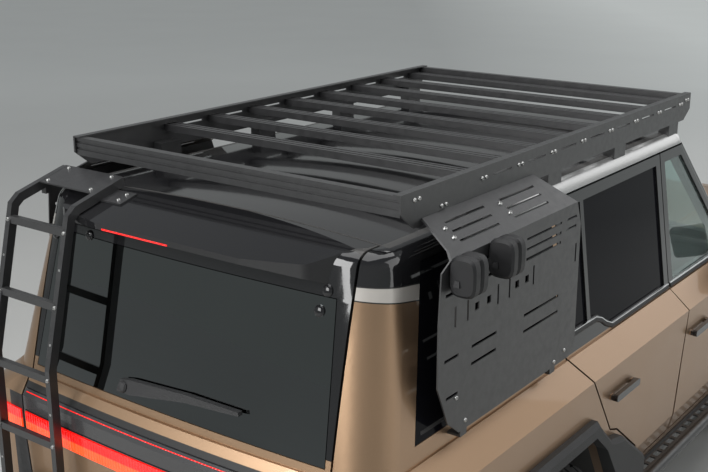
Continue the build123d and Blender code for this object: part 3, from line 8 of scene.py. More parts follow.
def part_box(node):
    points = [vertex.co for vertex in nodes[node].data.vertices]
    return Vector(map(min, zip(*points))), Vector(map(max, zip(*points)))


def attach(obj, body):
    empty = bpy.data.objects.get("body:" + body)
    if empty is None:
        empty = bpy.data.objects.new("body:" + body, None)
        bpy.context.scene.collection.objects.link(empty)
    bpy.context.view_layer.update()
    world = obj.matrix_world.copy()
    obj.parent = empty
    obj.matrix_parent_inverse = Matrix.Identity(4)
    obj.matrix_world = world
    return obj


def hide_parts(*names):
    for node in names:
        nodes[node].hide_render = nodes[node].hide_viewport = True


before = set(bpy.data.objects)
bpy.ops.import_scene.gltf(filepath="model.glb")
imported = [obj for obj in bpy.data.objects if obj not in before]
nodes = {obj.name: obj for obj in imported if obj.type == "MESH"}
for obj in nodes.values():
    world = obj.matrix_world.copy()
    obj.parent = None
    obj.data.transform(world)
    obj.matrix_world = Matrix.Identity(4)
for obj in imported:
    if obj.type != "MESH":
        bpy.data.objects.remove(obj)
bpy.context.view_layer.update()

scene = bpy.context.scene
SIDES = (("left", 1), ("right", -1))
ENDS = ("front", "rear")

# Colours, as linear red, green and blue
BRONZE = (0.395, 0.258, 0.160)
SILVER = (0.500, 0.500, 0.495)
BAND_SILVER = (0.520, 0.490, 0.455)
GLOSS_BLACK = (0.010, 0.010, 0.011)
SATIN_BLACK = (0.020, 0.020, 0.021)
SEAM_BLACK = (0.004, 0.004, 0.004)
GROOVE_BLACK = (0.006, 0.006, 0.006)
STRIP_GREY = (0.055, 0.055, 0.057)
CABIN_GREY = (0.045, 0.043, 0.041)
RIM_BLACK = (0.026, 0.026, 0.028)
CHASSIS_BLACK = (0.014, 0.014, 0.015)
TYRE_BLACK = (0.017, 0.017, 0.017)
SOFT_BLACK = (0.007, 0.007, 0.008)
CAST_GREY = (0.17, 0.17, 0.17)
STEEL_GREY = (0.52, 0.52, 0.51)
CHROME_GREY = (0.72, 0.73, 0.74)
TAIL_GLASS = (0.105, 0.115, 0.117)
PANE_BLACK = (0.006, 0.006, 0.008)
PANE_GREEN = (0.62, 0.76, 0.73)
RED = (0.70, 0.003, 0.002)
ORANGE_RED = (1.0, 0.065, 0.010)
LAMP_WHITE = (0.85, 0.88, 0.92)
LAMP_BOWL = (0.030, 0.032, 0.035)
REFLECTOR = (0.55, 0.56, 0.58)
LEATHER_BROWN = (0.055, 0.047, 0.041)
# The floor's colours near and far, and its glow, are painted light: lighter and glowing more far
# from the car
FLOOR_NEAR = (0.46, 0.46, 0.445)
FLOOR_FAR_PAINTED_LIGHT = (0.50, 0.51, 0.505)
FLOOR_PAINTED_GLOW = (0.95, 1.0, 0.98)

# Coats laid over the paint, as colour, metallic and roughness
SILVER_COAT = (SILVER, 0.85, 0.34)
BAND_COAT = (BAND_SILVER, 0.4, 0.42)
FRAME_COAT = (GLOSS_BLACK, 0.0, 0.08)
HANDLE_COAT = (GLOSS_BLACK, 0.0, 0.06)
CORNER_COAT = (GLOSS_BLACK, 0.0, 0.06)
GATE_COAT = (GLOSS_BLACK, 0.0, 0.07)
SEAM_COAT = (SEAM_BLACK, 0.0, 0.6)
STRIP_COAT = (STRIP_GREY, 0.3, 0.26)
GROOVE_COAT = (GROOVE_BLACK, 0.0, 0.5)
CABIN_COAT = (CABIN_GREY, 0.0, 0.75)

# Sizes that the looks share with the body, in metres. A pair is (half width, height).
ROCKER = (0.935, 0.620)
ROCKER_SLOPE = 0.0623            # half width gained for each metre of height, up to the shoulder
SHOULDER = (0.968, 1.150)
BELT = (0.872, 1.232)
GLASSHOUSE_X = 0.864
GLASSHOUSE_SLOPE = -0.1536
TAIL_Y = 2.382
TAIL_SLOPE = -0.229              # the same for the tail, over the belt
AXLES = (-1.570, 1.280)
TYRE_R = 0.428
TYRE_X = 0.835

# Where one coat ends and the next begins, in metres
SOFT_EDGE = 0.0012
CABIN_DEPTH = 0.040              # under the outer skin of a side
CABIN_TAIL_DEPTH = 0.150         # ahead of the tail's skin, on the sides
GATE_DEPTH = 0.055               # ahead of the tail's skin, on the tailgate
FRAME_LOW_Z = 1.243
HANDLE_X = 0.9628
HANDLE_Z = (0.98, 1.05)
POST_LOW_Z = 1.235
POST_END_Y = 0.9
CANT_LOW_Z = 1.806
CANT_END_Y = 1.99
BAND_START_Y = 1.93
BAND_FOOT = (0.185, 1.892, 1.711)        # slope along y, and a (y, z) point on the line
BAND_TOP = (0.140, 1.885, 1.769)
CORNER_FRONT = (-0.45, 1.80, 1.74)       # slope along z, and a (z, y) point on the line
SEAM_HALF = 0.0022
SEAM_SOFT = 0.0008
GATE_FRAME_Z = 1.288
STRIP_Z = (1.088, 1.177)
GROOVE_Z = (1.177, 1.201)
LAMP_SOFT = 0.002
HEAD_BARS_Z = ((1.040, 1.052), (0.962, 0.970))
HEAD_CUPS_Z = (0.985, 1.028)
BRIGHT_RED_Z = 1.050


class Finish:
    """A node material: fixed levels on its shader, and coats and textures that vary by place."""

    SOCKETS = {
        "metallic": "Metallic", "rough": "Roughness", "coat": "Coat Weight",
        "coat_rough": "Coat Roughness", "clear": "Transmission Weight",
        "level": "Specular IOR Level", "glow": "Emission Strength",
    }
    MIX_FLOATS = ("FLOAT", 2, 3, 0)      # kind, and where its two inputs and its output are
    MIX_COLOURS = ("RGBA", 6, 7, 2)

    def __init__(self, name, colour, **levels):
        self.made = bpy.data.materials.new(name)
        self.made.use_nodes = True
        self.shader = self.made.node_tree.nodes["Principled BSDF"]
        self.shader.inputs["Emission Color"].default_value = (*colour, 1.0)
        for level, value in levels.items():
            self.shader.inputs[self.SOCKETS[level]].default_value = value
        self.colour = (*colour, 1.0)
        self.metallic = levels.get("metallic", 0.0)
        self.rough = levels["rough"]
        self.normal = None
        self.spot = self.add("ShaderNodeTexCoord").outputs["Object"]
        parts = self.add("ShaderNodeSeparateXYZ", self.spot).outputs
        self.x = self.math("ABSOLUTE", parts["X"])
        self.y = parts["Y"]
        self.z = parts["Z"]

    def feed(self, socket, value):
        """Sets a socket, or links it to another."""
        if isinstance(value, bpy.types.NodeSocket):
            self.made.node_tree.links.new(value, socket)
        else:
            socket.default_value = value

    def add(self, kind, *values, **settings):
        """A node with its settings, and with its first sockets fed."""
        node = self.made.node_tree.nodes.new(kind)
        for name, setting in settings.items():
            setattr(node, name, setting)
        for socket, value in zip(node.inputs, values):
            self.feed(socket, value)
        return node

    def math(self, work, *values):
        return self.add("ShaderNodeMath", *values, operation=work).outputs[0]

    def ranged(self, value, *limits):
        """The value's first two limits mapped on the last two."""
        return self.add("ShaderNodeMapRange", value, *limits).outputs[0]

    def line(self, along, slope, start, at):
        """A value that is at where along is start, and rises by slope."""
        return self.math("MULTIPLY_ADD", along, slope, at - slope * start)

    def over(self, value, edge, soft=SOFT_EDGE):
        """1 where the value is over the edge and 0 under it."""
        past = self.math("SUBTRACT", value, edge)
        return self.add("ShaderNodeMapRange", past, -soft, soft, 0.0, 1.0,
                        interpolation_type="SMOOTHSTEP").outputs[0]

    def under(self, value, edge, soft=SOFT_EDGE):
        return self.math("SUBTRACT", 1.0, self.over(value, edge, soft))

    def within(self, value, limits, soft=SOFT_EDGE):
        low, high = limits
        return self.both(self.over(value, low, soft), self.under(value, high, soft))

    def both(self, first, second):
        """1 where both masks are 1."""
        return self.math("MULTIPLY", first, second)

    def noise(self, scale, detail=2.0):
        """Noise from 0 to 1, with about scale lumps in a metre."""
        node = self.add("ShaderNodeTexNoise")
        self.feed(node.inputs["Vector"], self.spot)
        node.inputs["Scale"].default_value = scale
        node.inputs["Detail"].default_value = detail
        return node.outputs[0]

    def cells(self, scale, edge):
        """Cells of grain: 0 between them, and 1 from a share of a cell's width inward."""
        node = self.add("ShaderNodeTexVoronoi", feature="DISTANCE_TO_EDGE")
        self.feed(node.inputs["Vector"], self.spot)
        node.inputs["Scale"].default_value = scale
        return self.ranged(node.outputs["Distance"], 0.0, edge, 0.0, 1.0)

    def mix(self, mask, low, high):
        """The low number or colour where the mask is 0, and the high one where it is 1."""
        flat = isinstance(low, (int, float)) or getattr(low, "type", "") == "VALUE"
        kind, first, second, result = self.MIX_FLOATS if flat else self.MIX_COLOURS
        node = self.add("ShaderNodeMix", mask, data_type=kind)
        self.feed(node.inputs[first], low)
        self.feed(node.inputs[second], high)
        return node.outputs[result]

    def lay(self, mask, colour, metallic, rough):
        """Another coat over what the mask marks."""
        self.colour = self.mix(mask, self.colour, (*colour, 1.0))
        self.metallic = self.mix(mask, self.metallic, metallic)
        self.rough = self.mix(mask, self.rough, rough)

    def mottle(self, texture, share):
        """Makes the colour darker and lighter by a share, where the texture is low and high."""
        _, first, second, result = self.MIX_COLOURS
        grey = self.ranged(texture, 0.2, 0.8, 1.0 - share, 1.0 + share)
        node = self.add("ShaderNodeMix", 1.0, data_type="RGBA", blend_type="MULTIPLY")
        self.feed(node.inputs[first], self.colour)
        self.feed(node.inputs[second], grey)
        self.colour = node.outputs[result]

    def scuff(self, texture, share):
        """Varies the roughness by a share in all, from where the texture is low to high."""
        change = self.ranged(texture, 0.3, 0.7, -share / 2, share / 2)
        self.rough = self.math("ADD", self.rough, change)

    def bump(self, height, depth):
        """Raises the surface by depth metres where the height is 1."""
        node = self.add("ShaderNodeBump")
        node.inputs["Strength"].default_value = 1.0
        node.inputs["Distance"].default_value = depth
        self.feed(node.inputs["Height"], height)
        self.normal = node.outputs[0]

    def done(self):
        self.feed(self.shader.inputs["Base Color"], self.colour)
        self.feed(self.shader.inputs["Metallic"], self.metallic)
        self.feed(self.shader.inputs["Roughness"], self.rough)
        if self.normal:
            self.feed(self.shader.inputs["Normal"], self.normal)
        return self.made


# Coats that lie over the bronze paint, each where its place on the car says
def tail_skin(made):
    """How far back the tail's skin lies at each height."""
    return made.math("MINIMUM", TAIL_Y, made.line(made.z, TAIL_SLOPE, BELT[1], TAIL_Y))


def cabin_side(made):
    """Grey trim on what faces the cabin."""
    belt_slope = (BELT[0] - SHOULDER[0]) / (BELT[1] - SHOULDER[1])
    door = made.line(made.z, ROCKER_SLOPE, ROCKER[1], ROCKER[0])
    shoulder = made.line(made.z, belt_slope, SHOULDER[1], SHOULDER[0])
    glasshouse = made.line(made.z, GLASSHOUSE_SLOPE, BELT[1], GLASSHOUSE_X)
    skin = made.math("MINIMUM", door, made.math("MAXIMUM", shoulder, glasshouse))
    inside = made.under(made.x, made.math("SUBTRACT", skin, CABIN_DEPTH))
    ahead = made.under(made.y, made.math("SUBTRACT", tail_skin(made), CABIN_TAIL_DEPTH))
    made.lay(made.both(inside, ahead), *CABIN_COAT)


def window_frames(made):
    """Gloss black over the belt."""
    made.lay(made.over(made.z, FRAME_LOW_Z), *FRAME_COAT)


def grab_handles(made):
    """Gloss black on the handles, which stand off the skin."""
    made.lay(made.both(made.over(made.x, HANDLE_X), made.within(made.z, HANDLE_Z)), *HANDLE_COAT)


def tail_corner(made):
    """The silver roof rail and corner band, with the black corner over the band."""
    foot = made.line(made.y, *BAND_FOOT)
    top = made.line(made.y, *BAND_TOP)
    rear = made.over(made.y, BAND_START_Y)
    made.lay(made.both(made.over(made.z, CANT_LOW_Z), made.under(made.y, CANT_END_Y)), *SILVER_COAT)
    made.lay(made.both(made.over(made.z, foot), rear), *BAND_COAT)
    corner = made.over(made.y, made.line(made.z, *CORNER_FRONT))
    made.lay(made.both(made.over(made.z, top), corner), *CORNER_COAT)
    for edge in (foot, top):
        gap = made.math("ABSOLUTE", made.math("SUBTRACT", made.z, edge))
        made.lay(made.both(made.under(gap, SEAM_HALF, SEAM_SOFT), rear), *SEAM_COAT)


def windscreen_posts(made):
    """Silver on the posts beside the windscreen."""
    made.lay(made.both(made.over(made.z, POST_LOW_Z), made.under(made.y, POST_END_Y)), *SILVER_COAT)


def tailgate_coats(made):
    """The black frame round the rear glass, the dark strip under it and the trim inside."""
    made.lay(made.over(made.z, GATE_FRAME_Z), *GATE_COAT)
    made.lay(made.within(made.z, STRIP_Z), *STRIP_COAT)
    made.lay(made.within(made.z, GROOVE_Z), *GROOVE_COAT)
    inside = made.under(made.y, made.math("SUBTRACT", tail_skin(made), GATE_DEPTH))
    made.lay(inside, *CABIN_COAT)


# Finishes. A noise is given by its lumps in a metre and its detail.
def painted(name, *coats):
    """Bronze metallic paint under a clear coat, with other coats laid over it."""
    made = Finish(name, BRONZE, metallic=0.90, rough=0.40, coat=0.4, coat_rough=0.03)
    made.mottle(made.noise(1400.0, 1.0), 0.10)
    made.scuff(made.noise(3.0), 0.05)
    for coat in coats:
        coat(made)
    made.bump(made.noise(160.0, 1.0), 0.00004)
    return made.done()


def gloss_black(name):
    """Black paint under a thin clear coat."""
    made = Finish(name, GLOSS_BLACK, rough=0.07, level=0.4, coat=0.25, coat_rough=0.02)
    made.mottle(made.noise(1400.0, 1.0), 0.15)
    made.scuff(made.noise(2.5), 0.03)
    made.bump(made.noise(120.0, 1.0), 0.00003)
    return made.done()


def powder_coat(name, colour, rough):
    """Fine-textured powder coat, a little worn."""
    made = Finish(name, colour, rough=rough, level=0.8)
    made.mottle(made.noise(18.0, 4.0), 0.18)
    made.scuff(made.noise(40.0, 3.0), 0.12)
    made.bump(made.noise(900.0, 2.0), 0.00012)
    return made.done()


def moulding(name, colour, rough, grain):
    """Grained plastic."""
    made = Finish(name, colour, rough=rough)
    made.mottle(made.noise(9.0, 3.0), 0.12)
    made.bump(made.cells(grain, 0.25), 0.00025)
    return made.done()


def rubber(name, colour, rough):
    """Dull rubber with a little dust."""
    made = Finish(name, colour, rough=rough)
    made.mottle(made.noise(14.0, 5.0), 0.35)
    made.scuff(made.noise(30.0, 4.0), 0.15)
    made.bump(made.noise(500.0, 3.0), 0.0002)
    return made.done()


def metal(name, colour, rough):
    """Bare metal with fine marks."""
    made = Finish(name, colour, metallic=1.0, rough=rough)
    made.mottle(made.noise(60.0, 4.0), 0.12)
    made.scuff(made.noise(120.0, 3.0), 0.18)
    made.bump(made.noise(700.0, 2.0), 0.00006)
    return made.done()


def glass(name, colour, wave, **levels):
    """Dark glass, a little uneven, with waves of a depth in metres."""
    made = Finish(name, colour, **levels)
    made.mottle(made.noise(1.6, 1.0), 0.10)
    made.bump(made.noise(1.3, 1.0), wave)
    return made.done()


def clear_glass(name):
    """Glass with a light green tint."""
    made = Finish(name, PANE_GREEN, rough=0.01, clear=0.93, level=0.7)
    made.mottle(made.noise(2.0, 1.0), 0.04)
    return made.done()


def red_lamp(name):
    """A ribbed red lens, lit more brightly in its lower half."""
    made = Finish(name, RED, rough=0.12, coat=0.6, glow=1.1)
    ribs = made.math("SINE", made.math("MULTIPLY", made.x, 420.0))
    made.lay(made.under(made.z, BRIGHT_RED_Z, 2 * LAMP_SOFT), ORANGE_RED, 0.0, 0.12)
    made.mottle(ribs, 0.10)
    made.feed(made.shader.inputs["Emission Color"], made.colour)
    made.bump(ribs, 0.0006)
    return made.done()


def head_lamp(name):
    """A clear lens over dark bowls, between two lit bars."""
    made = Finish(name, LAMP_BOWL, rough=0.05, coat=1.0, glow=1.2)
    bars = made.math("MAXIMUM", *[made.within(made.z, bar, LAMP_SOFT) for bar in HEAD_BARS_Z])
    cups = made.over(made.math("SINE", made.math("MULTIPLY", made.x, 58.0)), 0.0, 0.08)
    bowls = made.both(cups, made.within(made.z, HEAD_CUPS_Z, LAMP_SOFT))
    made.lay(bowls, REFLECTOR, 1.0, 0.12)
    made.lay(bars, LAMP_WHITE, 0.0, 0.2)
    light = made.mix(bars, (0.0, 0.0, 0.0, 1.0), (*LAMP_WHITE, 1.0))
    made.feed(made.shader.inputs["Emission Color"], light)
    made.bump(bowls, 0.003)
    return made.done()


def leather(name):
    """Dark leather with its grain."""
    made = Finish(name, LEATHER_BROWN, rough=0.48)
    made.mottle(made.noise(10.0, 4.0), 0.22)
    made.bump(made.cells(260.0, 0.2), 0.0003)
    return made.done()


PAINT = painted("paint_bronze")
SIDE_PAINT = painted("paint_side", windscreen_posts, tail_corner, cabin_side)
DOOR_PAINT = painted("paint_door", window_frames, grab_handles, cabin_side)
GATE_PAINT = painted("paint_gate", tailgate_coats)
BLACK = gloss_black("paint_black")
POWDER = powder_coat("powder_black", SATIN_BLACK, 0.36)
TRIM = moulding("trim_black", SATIN_BLACK, 0.58, 420.0)
DARK_GLASS = glass("glass_dark", TAIL_GLASS, 0.0004,
                   metallic=1.0, rough=0.025, coat=1.0, coat_rough=0.01)
SIDE_GLASS = glass("glass_side", PANE_BLACK, 0.0003, rough=0.02, level=0.05)
CLEAR_GLASS = clear_glass("glass_clear")
RED_LENS = red_lamp("lamp_red")
HEAD_LAMP = head_lamp("lamp_clear")
TYRE = rubber("tyre", TYRE_BLACK, 0.78)
RIM = powder_coat("rim_black", RIM_BLACK, 0.34)
CHASSIS = powder_coat("chassis", CHASSIS_BLACK, 0.6)
CAST = metal("cast", CAST_GREY, 0.55)
STEEL = metal("steel", STEEL_GREY, 0.34)
CHROME = metal("chrome", CHROME_GREY, 0.12)
SOFT_RUBBER = rubber("rubber", SOFT_BLACK, 0.5)
LEATHER = leather("seat")
DASH = moulding("dash", CABIN_GREY, 0.66, 320.0)

FINISHES = (
    (PAINT, "front_fenders nose_panel hood"),
    (SIDE_PAINT, "body_side_{side}"),
    (DOOR_PAINT, "front_door_{side} rear_door_{side}"),
    (GATE_PAINT, "tailgate"),
    (BLACK, "roof_panel spoiler mirror_{side}"),
    (POWDER, "rock_sliders rack_rails rack_bars side_panels ladder"),
    (TRIM, "grille front_bumper rear_bumper arch_flares fuel_tank rear_wiper"),
    (DARK_GLASS, "tail_glass"),
    (SIDE_GLASS, "quarter_glass rear_pane_{side}"),
    (CLEAR_GLASS, "windscreen front_pane_{side}"),
    (RED_LENS, "tail_lamps light_bar"),
    (HEAD_LAMP, "headlamps"),
    (TYRE, "tyre_{end}_{side}"),
    (RIM, "rim_{end}_{side}"),
    (CHASSIS, "floor_pan wheel_housings frame_rails crossmembers tow_receiver"),
    (CHASSIS, "front_suspension rear_axle"),
    (CAST, "engine_block driveline knuckle_{side}"),
    (STEEL, "exhaust"),
    (SOFT_RUBBER, "panel_clamps"),
    (LEATHER, "seats"),
    (DASH, "roof_frame dashboard steering_wheel"),
)
finish_of = {name.format(side=side, end=end): finish for finish, names in FINISHES
             for name in names.split() for side, _ in SIDES for end in ENDS}
for name, obj in nodes.items():
    obj.data.materials.clear()
    obj.data.materials.append(finish_of[name])


# Pieces
def turns(count):
    """Angles spread evenly over a full turn."""
    return [2 * math.pi * n / count for n in range(count)]


def walls(count, first, last):
    """Faces between two rings of as many corners, whose numbers start at first and at last."""
    return [(first + i, first + (i + 1) % count, last + (i + 1) % count, last + i)
            for i in range(count)]


class Shape:
    """Points and faces that become one piece."""

    # Heights and radii as shares of the head's radius
    BOLT_HEAD = ((-0.3, 1.0), (0.35, 1.0), (0.7, 0.75), (0.75, 0.45), (0.35, 0.4))
    # Places across and over the surface, as shares of the width and the thickness
    RIBBON = ((-0.5, -0.4), (-0.5, 0.45), (-0.3, 1.0), (0.3, 1.0), (0.5, 0.45), (0.5, -0.4))

    def __init__(self):
        self.points = []
        self.faces = []

    def add(self, points, faces):
        base = len(self.points)
        self.points += [tuple(point) for point in points]
        self.faces += [[base + corner for corner in face] for face in faces]

    def between(self, first, last):
        """A solid between two outlines of as many corners."""
        n = len(first)
        ends = [tuple(reversed(range(n))), tuple(range(n, 2 * n))]
        self.add([*first, *last], ends + walls(n, 0, n))

    def block(self, low, high, slant=0.0):
        """A block, whose top is smaller by slant on each side."""
        (x0, y0, z0), (x1, y1, z1) = low, high
        foot = [(x0, y0, z0), (x1, y0, z0), (x1, y1, z0), (x0, y1, z0)]
        top = [(x0 + slant, y0 + slant, z1), (x1 - slant, y0 + slant, z1),
               (x1 - slant, y1 - slant, z1), (x0 + slant, y1 - slant, z1)]
        self.between(foot, top)

    def turned(self, place, axis, profile, sides):
        """A (distance, radius) profile turned about an axis that starts at a place."""
        axis = Vector(axis).normalized()
        across = axis.orthogonal().normalized()
        up = axis.cross(across)
        points = []
        for away, radius in profile:
            middle = Vector(place) + axis * away
            points += [middle + (across * math.cos(t) + up * math.sin(t)) * radius
                       for t in turns(sides)]
        last = (len(profile) - 1) * sides
        faces = [tuple(reversed(range(sides)))]
        for ring in range(0, last, sides):
            faces += walls(sides, ring, ring + sides)
        faces.append(tuple(range(last, last + sides)))
        self.add(points, faces)

    def bolt(self, place, axis, radius):
        """A button head with its recess."""
        self.turned(place, axis, [(h * radius, r * radius) for h, r in self.BOLT_HEAD], 12)

    def ribbon(self, path, outward, wide, thick):
        """A rounded strip along a path, standing on a surface that faces outward."""
        n = len(self.RIBBON)
        points = []
        for i, (point, out) in enumerate(zip(path, outward)):
            ahead = (path[min(i + 1, len(path) - 1)] - path[max(i - 1, 0)]).normalized()
            out = (out - ahead * out.dot(ahead)).normalized()
            across = ahead.cross(out)
            points += [point + across * a * wide + out * o * thick for a, o in self.RIBBON]
        last = len(points) - n
        faces = [tuple(range(n)), tuple(reversed(range(last, len(points))))]
        for a in range(0, last, n):
            b = a + n
            faces += [(a + i, b + i, b + (i + 1) % n, a + (i + 1) % n) for i in range(n)]
        self.add(points, faces)

    def piece(self, name, body, finish, slot, angle=35):
        """The finished piece, which rides on a body. Edges sharper than the angle stay sharp."""
        mesh = bpy.data.meshes.new(name)
        mesh.from_pydata(self.points, [], self.faces)
        mesh.update()
        mesh.materials.append(finish)
        mesh.polygons.foreach_set("use_smooth", [True] * len(mesh.polygons))
        mesh.set_sharp_from_angle(angle=math.radians(angle))
        made = bpy.data.objects.new(name, mesh)
        scene.collection.objects.link(made)
        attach(made, body)
        return made


# Places outside the car from which a line looks for its skin, in metres
BESIDE_X = 1.3
BEHIND_Y = 2.8
ABOVE_Z = 2.2


def on_skin(node, place, away):
    """Where a line from a place, pointing away, meets a CAD node, and how its skin faces there."""
    hit, spot, facing, _ = nodes[node].ray_cast(Vector(place), Vector(away).normalized())
    if not hit:
        raise ValueError(f"nothing of {node} lies that way from {place}")
    return spot, facing


def from_beside(node, sign, y, z):
    return on_skin(node, (sign * BESIDE_X, y, z), (-sign, 0, 0))


def from_behind(node, x, z):
    return on_skin(node, (x, BEHIND_Y, z), (0, -1, 0))


def from_above(node, x, y):
    return on_skin(node, (x, y, ABOVE_Z), (0, 0, -1))


# Belt mouldings, as (y, z) corners on each panel
BELT_LINES = {
    "front_door": ((-0.800, 1.2450), (0.010, 1.2450)),
    "rear_door": ((0.032, 1.2450), (0.645, 1.2450), (0.700, 1.2680), (0.740, 1.2950),
                  (0.790, 1.3120), (1.030, 1.3140)),
    "body_side": ((1.092, 1.3150), (2.080, 1.3190)),
}
BELT_STEP = 0.04
BELT_BLACK = (0.020, 0.007)              # width and thickness
BELT_BRIGHT = (0.006, 0.006)
BELT_BRIGHT_RISE = 0.012


def along_side(node, sign, corners):
    """A path over a node's side through (y, z) corners, with how the skin faces at each point."""
    path, outward = [], []
    for (y0, z0), (y1, z1) in zip(corners, corners[1:]):
        count = max(1, round(math.hypot(y1 - y0, z1 - z0) / BELT_STEP))
        for n in range(count + (corners[-1] == (y1, z1))):
            share = n / count
            spot, facing = from_beside(node, sign, y0 + (y1 - y0) * share, z0 + (z1 - z0) * share)
            path.append(spot)
            outward.append(facing)
    return path, outward


def belt_mouldings():
    """A black moulding with a bright line over it, along the foot of the side windows."""
    for side, sign in SIDES:
        for panel, corners in BELT_LINES.items():
            node = f"{panel}_{side}"
            body = "body" if panel == "body_side" else f"{node}_body"
            upper = [(y, z + BELT_BRIGHT_RISE) for y, z in corners]
            black, bright = Shape(), Shape()
            black.ribbon(*along_side(node, sign, corners), *BELT_BLACK)
            bright.ribbon(*along_side(node, sign, upper), *BELT_BRIGHT)
            black.piece(f"belt_moulding_{node}", body, TRIM, "trim_black")
            bright.piece(f"belt_line_{node}", body, CHROME, "steel")


# Tyres: (distance from the middle plane, radius) from the bead to the tread
TYRE_WALL = ((0.104, 0.2305), (0.119, 0.246), (0.131, 0.275), (0.1385, 0.305), (0.1415, 0.335),
             (0.1405, 0.362), (0.1365, 0.386), (0.129, 0.402), (0.112, 0.4135), (0.060, 0.4160))
TYRE_STEPS = 96
LUGS = 34
LUG_TOP = 0.86                   # length of a lug's top as a share of its foot
# Shift in half pitches, inner and outer end, length, skew, radius at the foot and at the top,
# and how far the outer end drops
LUG_ROWS = (
    (0, 0.004, 0.044, 0.046, 0.010, 0.412, 0.4275, 0.0),
    (1, 0.052, 0.092, 0.050, 0.008, 0.412, 0.4275, 0.0),
    (0, 0.100, 0.1345, 0.044, 0.0, 0.400, 0.4265, 0.014),
    (1, 0.104, 0.1375, 0.028, 0.0, 0.396, 0.4235, 0.018),
)


def tyre_piece(end, side, side_sign, axle_y):
    """A tyre with its lugs over the tread and shoulders, which keeps the solid's outline."""
    middle = Vector((side_sign * TYRE_X, axle_y, TYRE_R))
    made = Shape()

    def on_tyre(x, radius, turn):
        return middle + Vector((x, radius * math.cos(turn), radius * math.sin(turn)))

    profile = [*TYRE_WALL, *[(-x, r) for x, r in reversed(TYRE_WALL)]]
    points = [on_tyre(x, r, t) for x, r in profile for t in turns(TYRE_STEPS)]
    faces = []
    for ring in range(0, len(points), TYRE_STEPS):
        faces += walls(TYRE_STEPS, ring, (ring + TYRE_STEPS) % len(points))
    made.add(points, faces)
    for turn in turns(LUGS):
        for sign in (-1, 1):
            for shift, inner, outer, long, skew, low, high, drop in LUG_ROWS:
                foot, top = [], []
                for x, slide, fall in ((inner, -skew, 0.0), (outer, skew, drop)):
                    for edge in (-long / 2, long / 2):
                        for ring, radius, tight in ((foot, low, 1.0), (top, high - fall, LUG_TOP)):
                            at = turn + shift * math.pi / LUGS
                            at += (edge * tight + sign * slide) / TYRE_R
                            ring.append(on_tyre(sign * x, radius, at))
                for ring in (foot, top):
                    ring[2], ring[3] = ring[3], ring[2]
                made.between(foot, top)
    tyre = made.piece(f"tread_{end}_{side}", f"wheel_{end}_{side}", TYRE, "tyre", 30)
    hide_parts(f"tyre_{end}_{side}")


NUTS = 6
NUT_CIRCLE_R = 0.06985
NUT = ((-0.004, 0.0135), (0.006, 0.0135), (0.010, 0.010))
HUB_CAP = ((-0.001, 0.036), (0.002, 0.036), (0.004, 0.030))
HUB_PROBE_RISE = 0.005           # keeps the line off the hub's very middle


def wheel_nuts(end, side, sign, axle_y):
    """Six nuts and a flat hub cap on one wheel."""
    rim = f"rim_{end}_{side}"
    outward = (sign, 0, 0)
    made = Shape()
    for n in range(NUTS):
        angle = math.pi * (2 * n + 1) / NUTS
        y, z = NUT_CIRCLE_R * math.cos(angle), NUT_CIRCLE_R * math.sin(angle)
        place, _ = from_beside(rim, sign, axle_y + y, TYRE_R + z)
        made.turned(place, outward, NUT, 6)
    hub, _ = from_beside(rim, sign, axle_y, TYRE_R + HUB_PROBE_RISE)
    made.turned((hub.x, axle_y, TYRE_R), outward, HUB_CAP, 32)
    made.piece(f"wheel_nuts_{end}_{side}", f"wheel_{end}_{side}", STEEL, "steel")


# Rack, side panels and ladder
BAR_Y = -0.239
BAR_PITCH = 0.257
BAR_COUNT = 8
BAR_BOLT_Z = 2.036
RAIL_FACE_X = 0.750
RAIL_BOLT_PAIRS = ((1.973, 2.047), (1.814, 1.995), (-0.315, 2.047))      # (y, z)
PAIR_HALF = 0.013
SMALL_BOLT_R = 0.0075
RUNG_BOLT_R = 0.0078
PLATE_BOLT_R = 0.008
LARGE_BOLT_R = 0.0085
PANEL_FACING = (0.497, 0.0, 0.868)       # how the panels' upper facets face
PANEL_PROBE = 0.05
PANEL_TOP_BOLTS = ((0.811, 1.902, 1.945), (0.849, 1.908, 1.924), (0.805, 1.542, 1.949),
                   (0.847, 1.546, 1.925))
PANEL_LOW_BOLTS = ((1.20, 1.33), (1.28, 1.31), (1.91, 1.32), (1.97, 1.42))   # (y, z)
LADDER_X = (0.449, 0.757)
RUNG_HEIGHTS = (1.818, 1.560, 1.302, 1.044, 0.786)
RIVET_HEIGHTS = (1.69, 1.43, 1.17, 0.91)
RIVET = ((-0.002, 0.005), (0.0005, 0.005), (0.0006, 0.0035))
LADDER_PLATE_BOLTS = ((0.485, 2.115), (0.720, 2.115), (0.485, 2.215), (0.720, 2.215),
                      (0.370, 2.150), (0.370, 2.190))                        # (x, y)


def rack_bolts():
    """Bolt pairs on the rack's side plates, one for each cross bar, and three more."""
    bar_pairs = [(BAR_Y + BAR_PITCH * n, BAR_BOLT_Z) for n in range(BAR_COUNT)]
    bolts = Shape()
    for _, sign in SIDES:
        for y, z in (*bar_pairs, *RAIL_BOLT_PAIRS):
            for shift in (-PAIR_HALF, PAIR_HALF):
                bolts.bolt((sign * RAIL_FACE_X, y + shift, z), (sign, 0, 0), SMALL_BOLT_R)
    bolts.piece("rack_bolts", "body", STEEL, "steel")


def panel_bolts():
    """Silver bolts on the side panels' upper facets and along their lower edges."""
    bolts = Shape()
    for _, sign in SIDES:
        facing = Vector((sign * PANEL_FACING[0], 0, PANEL_FACING[2]))
        for x, y, z in PANEL_TOP_BOLTS:
            start = Vector((sign * x, y, z)) + facing * PANEL_PROBE
            bolts.bolt(*on_skin("side_panels", start, -facing), LARGE_BOLT_R)
        for y, z in PANEL_LOW_BOLTS:
            bolts.bolt(*from_beside("side_panels", sign, y, z), SMALL_BOLT_R)
    bolts.piece("panel_bolts", "body", STEEL, "steel")


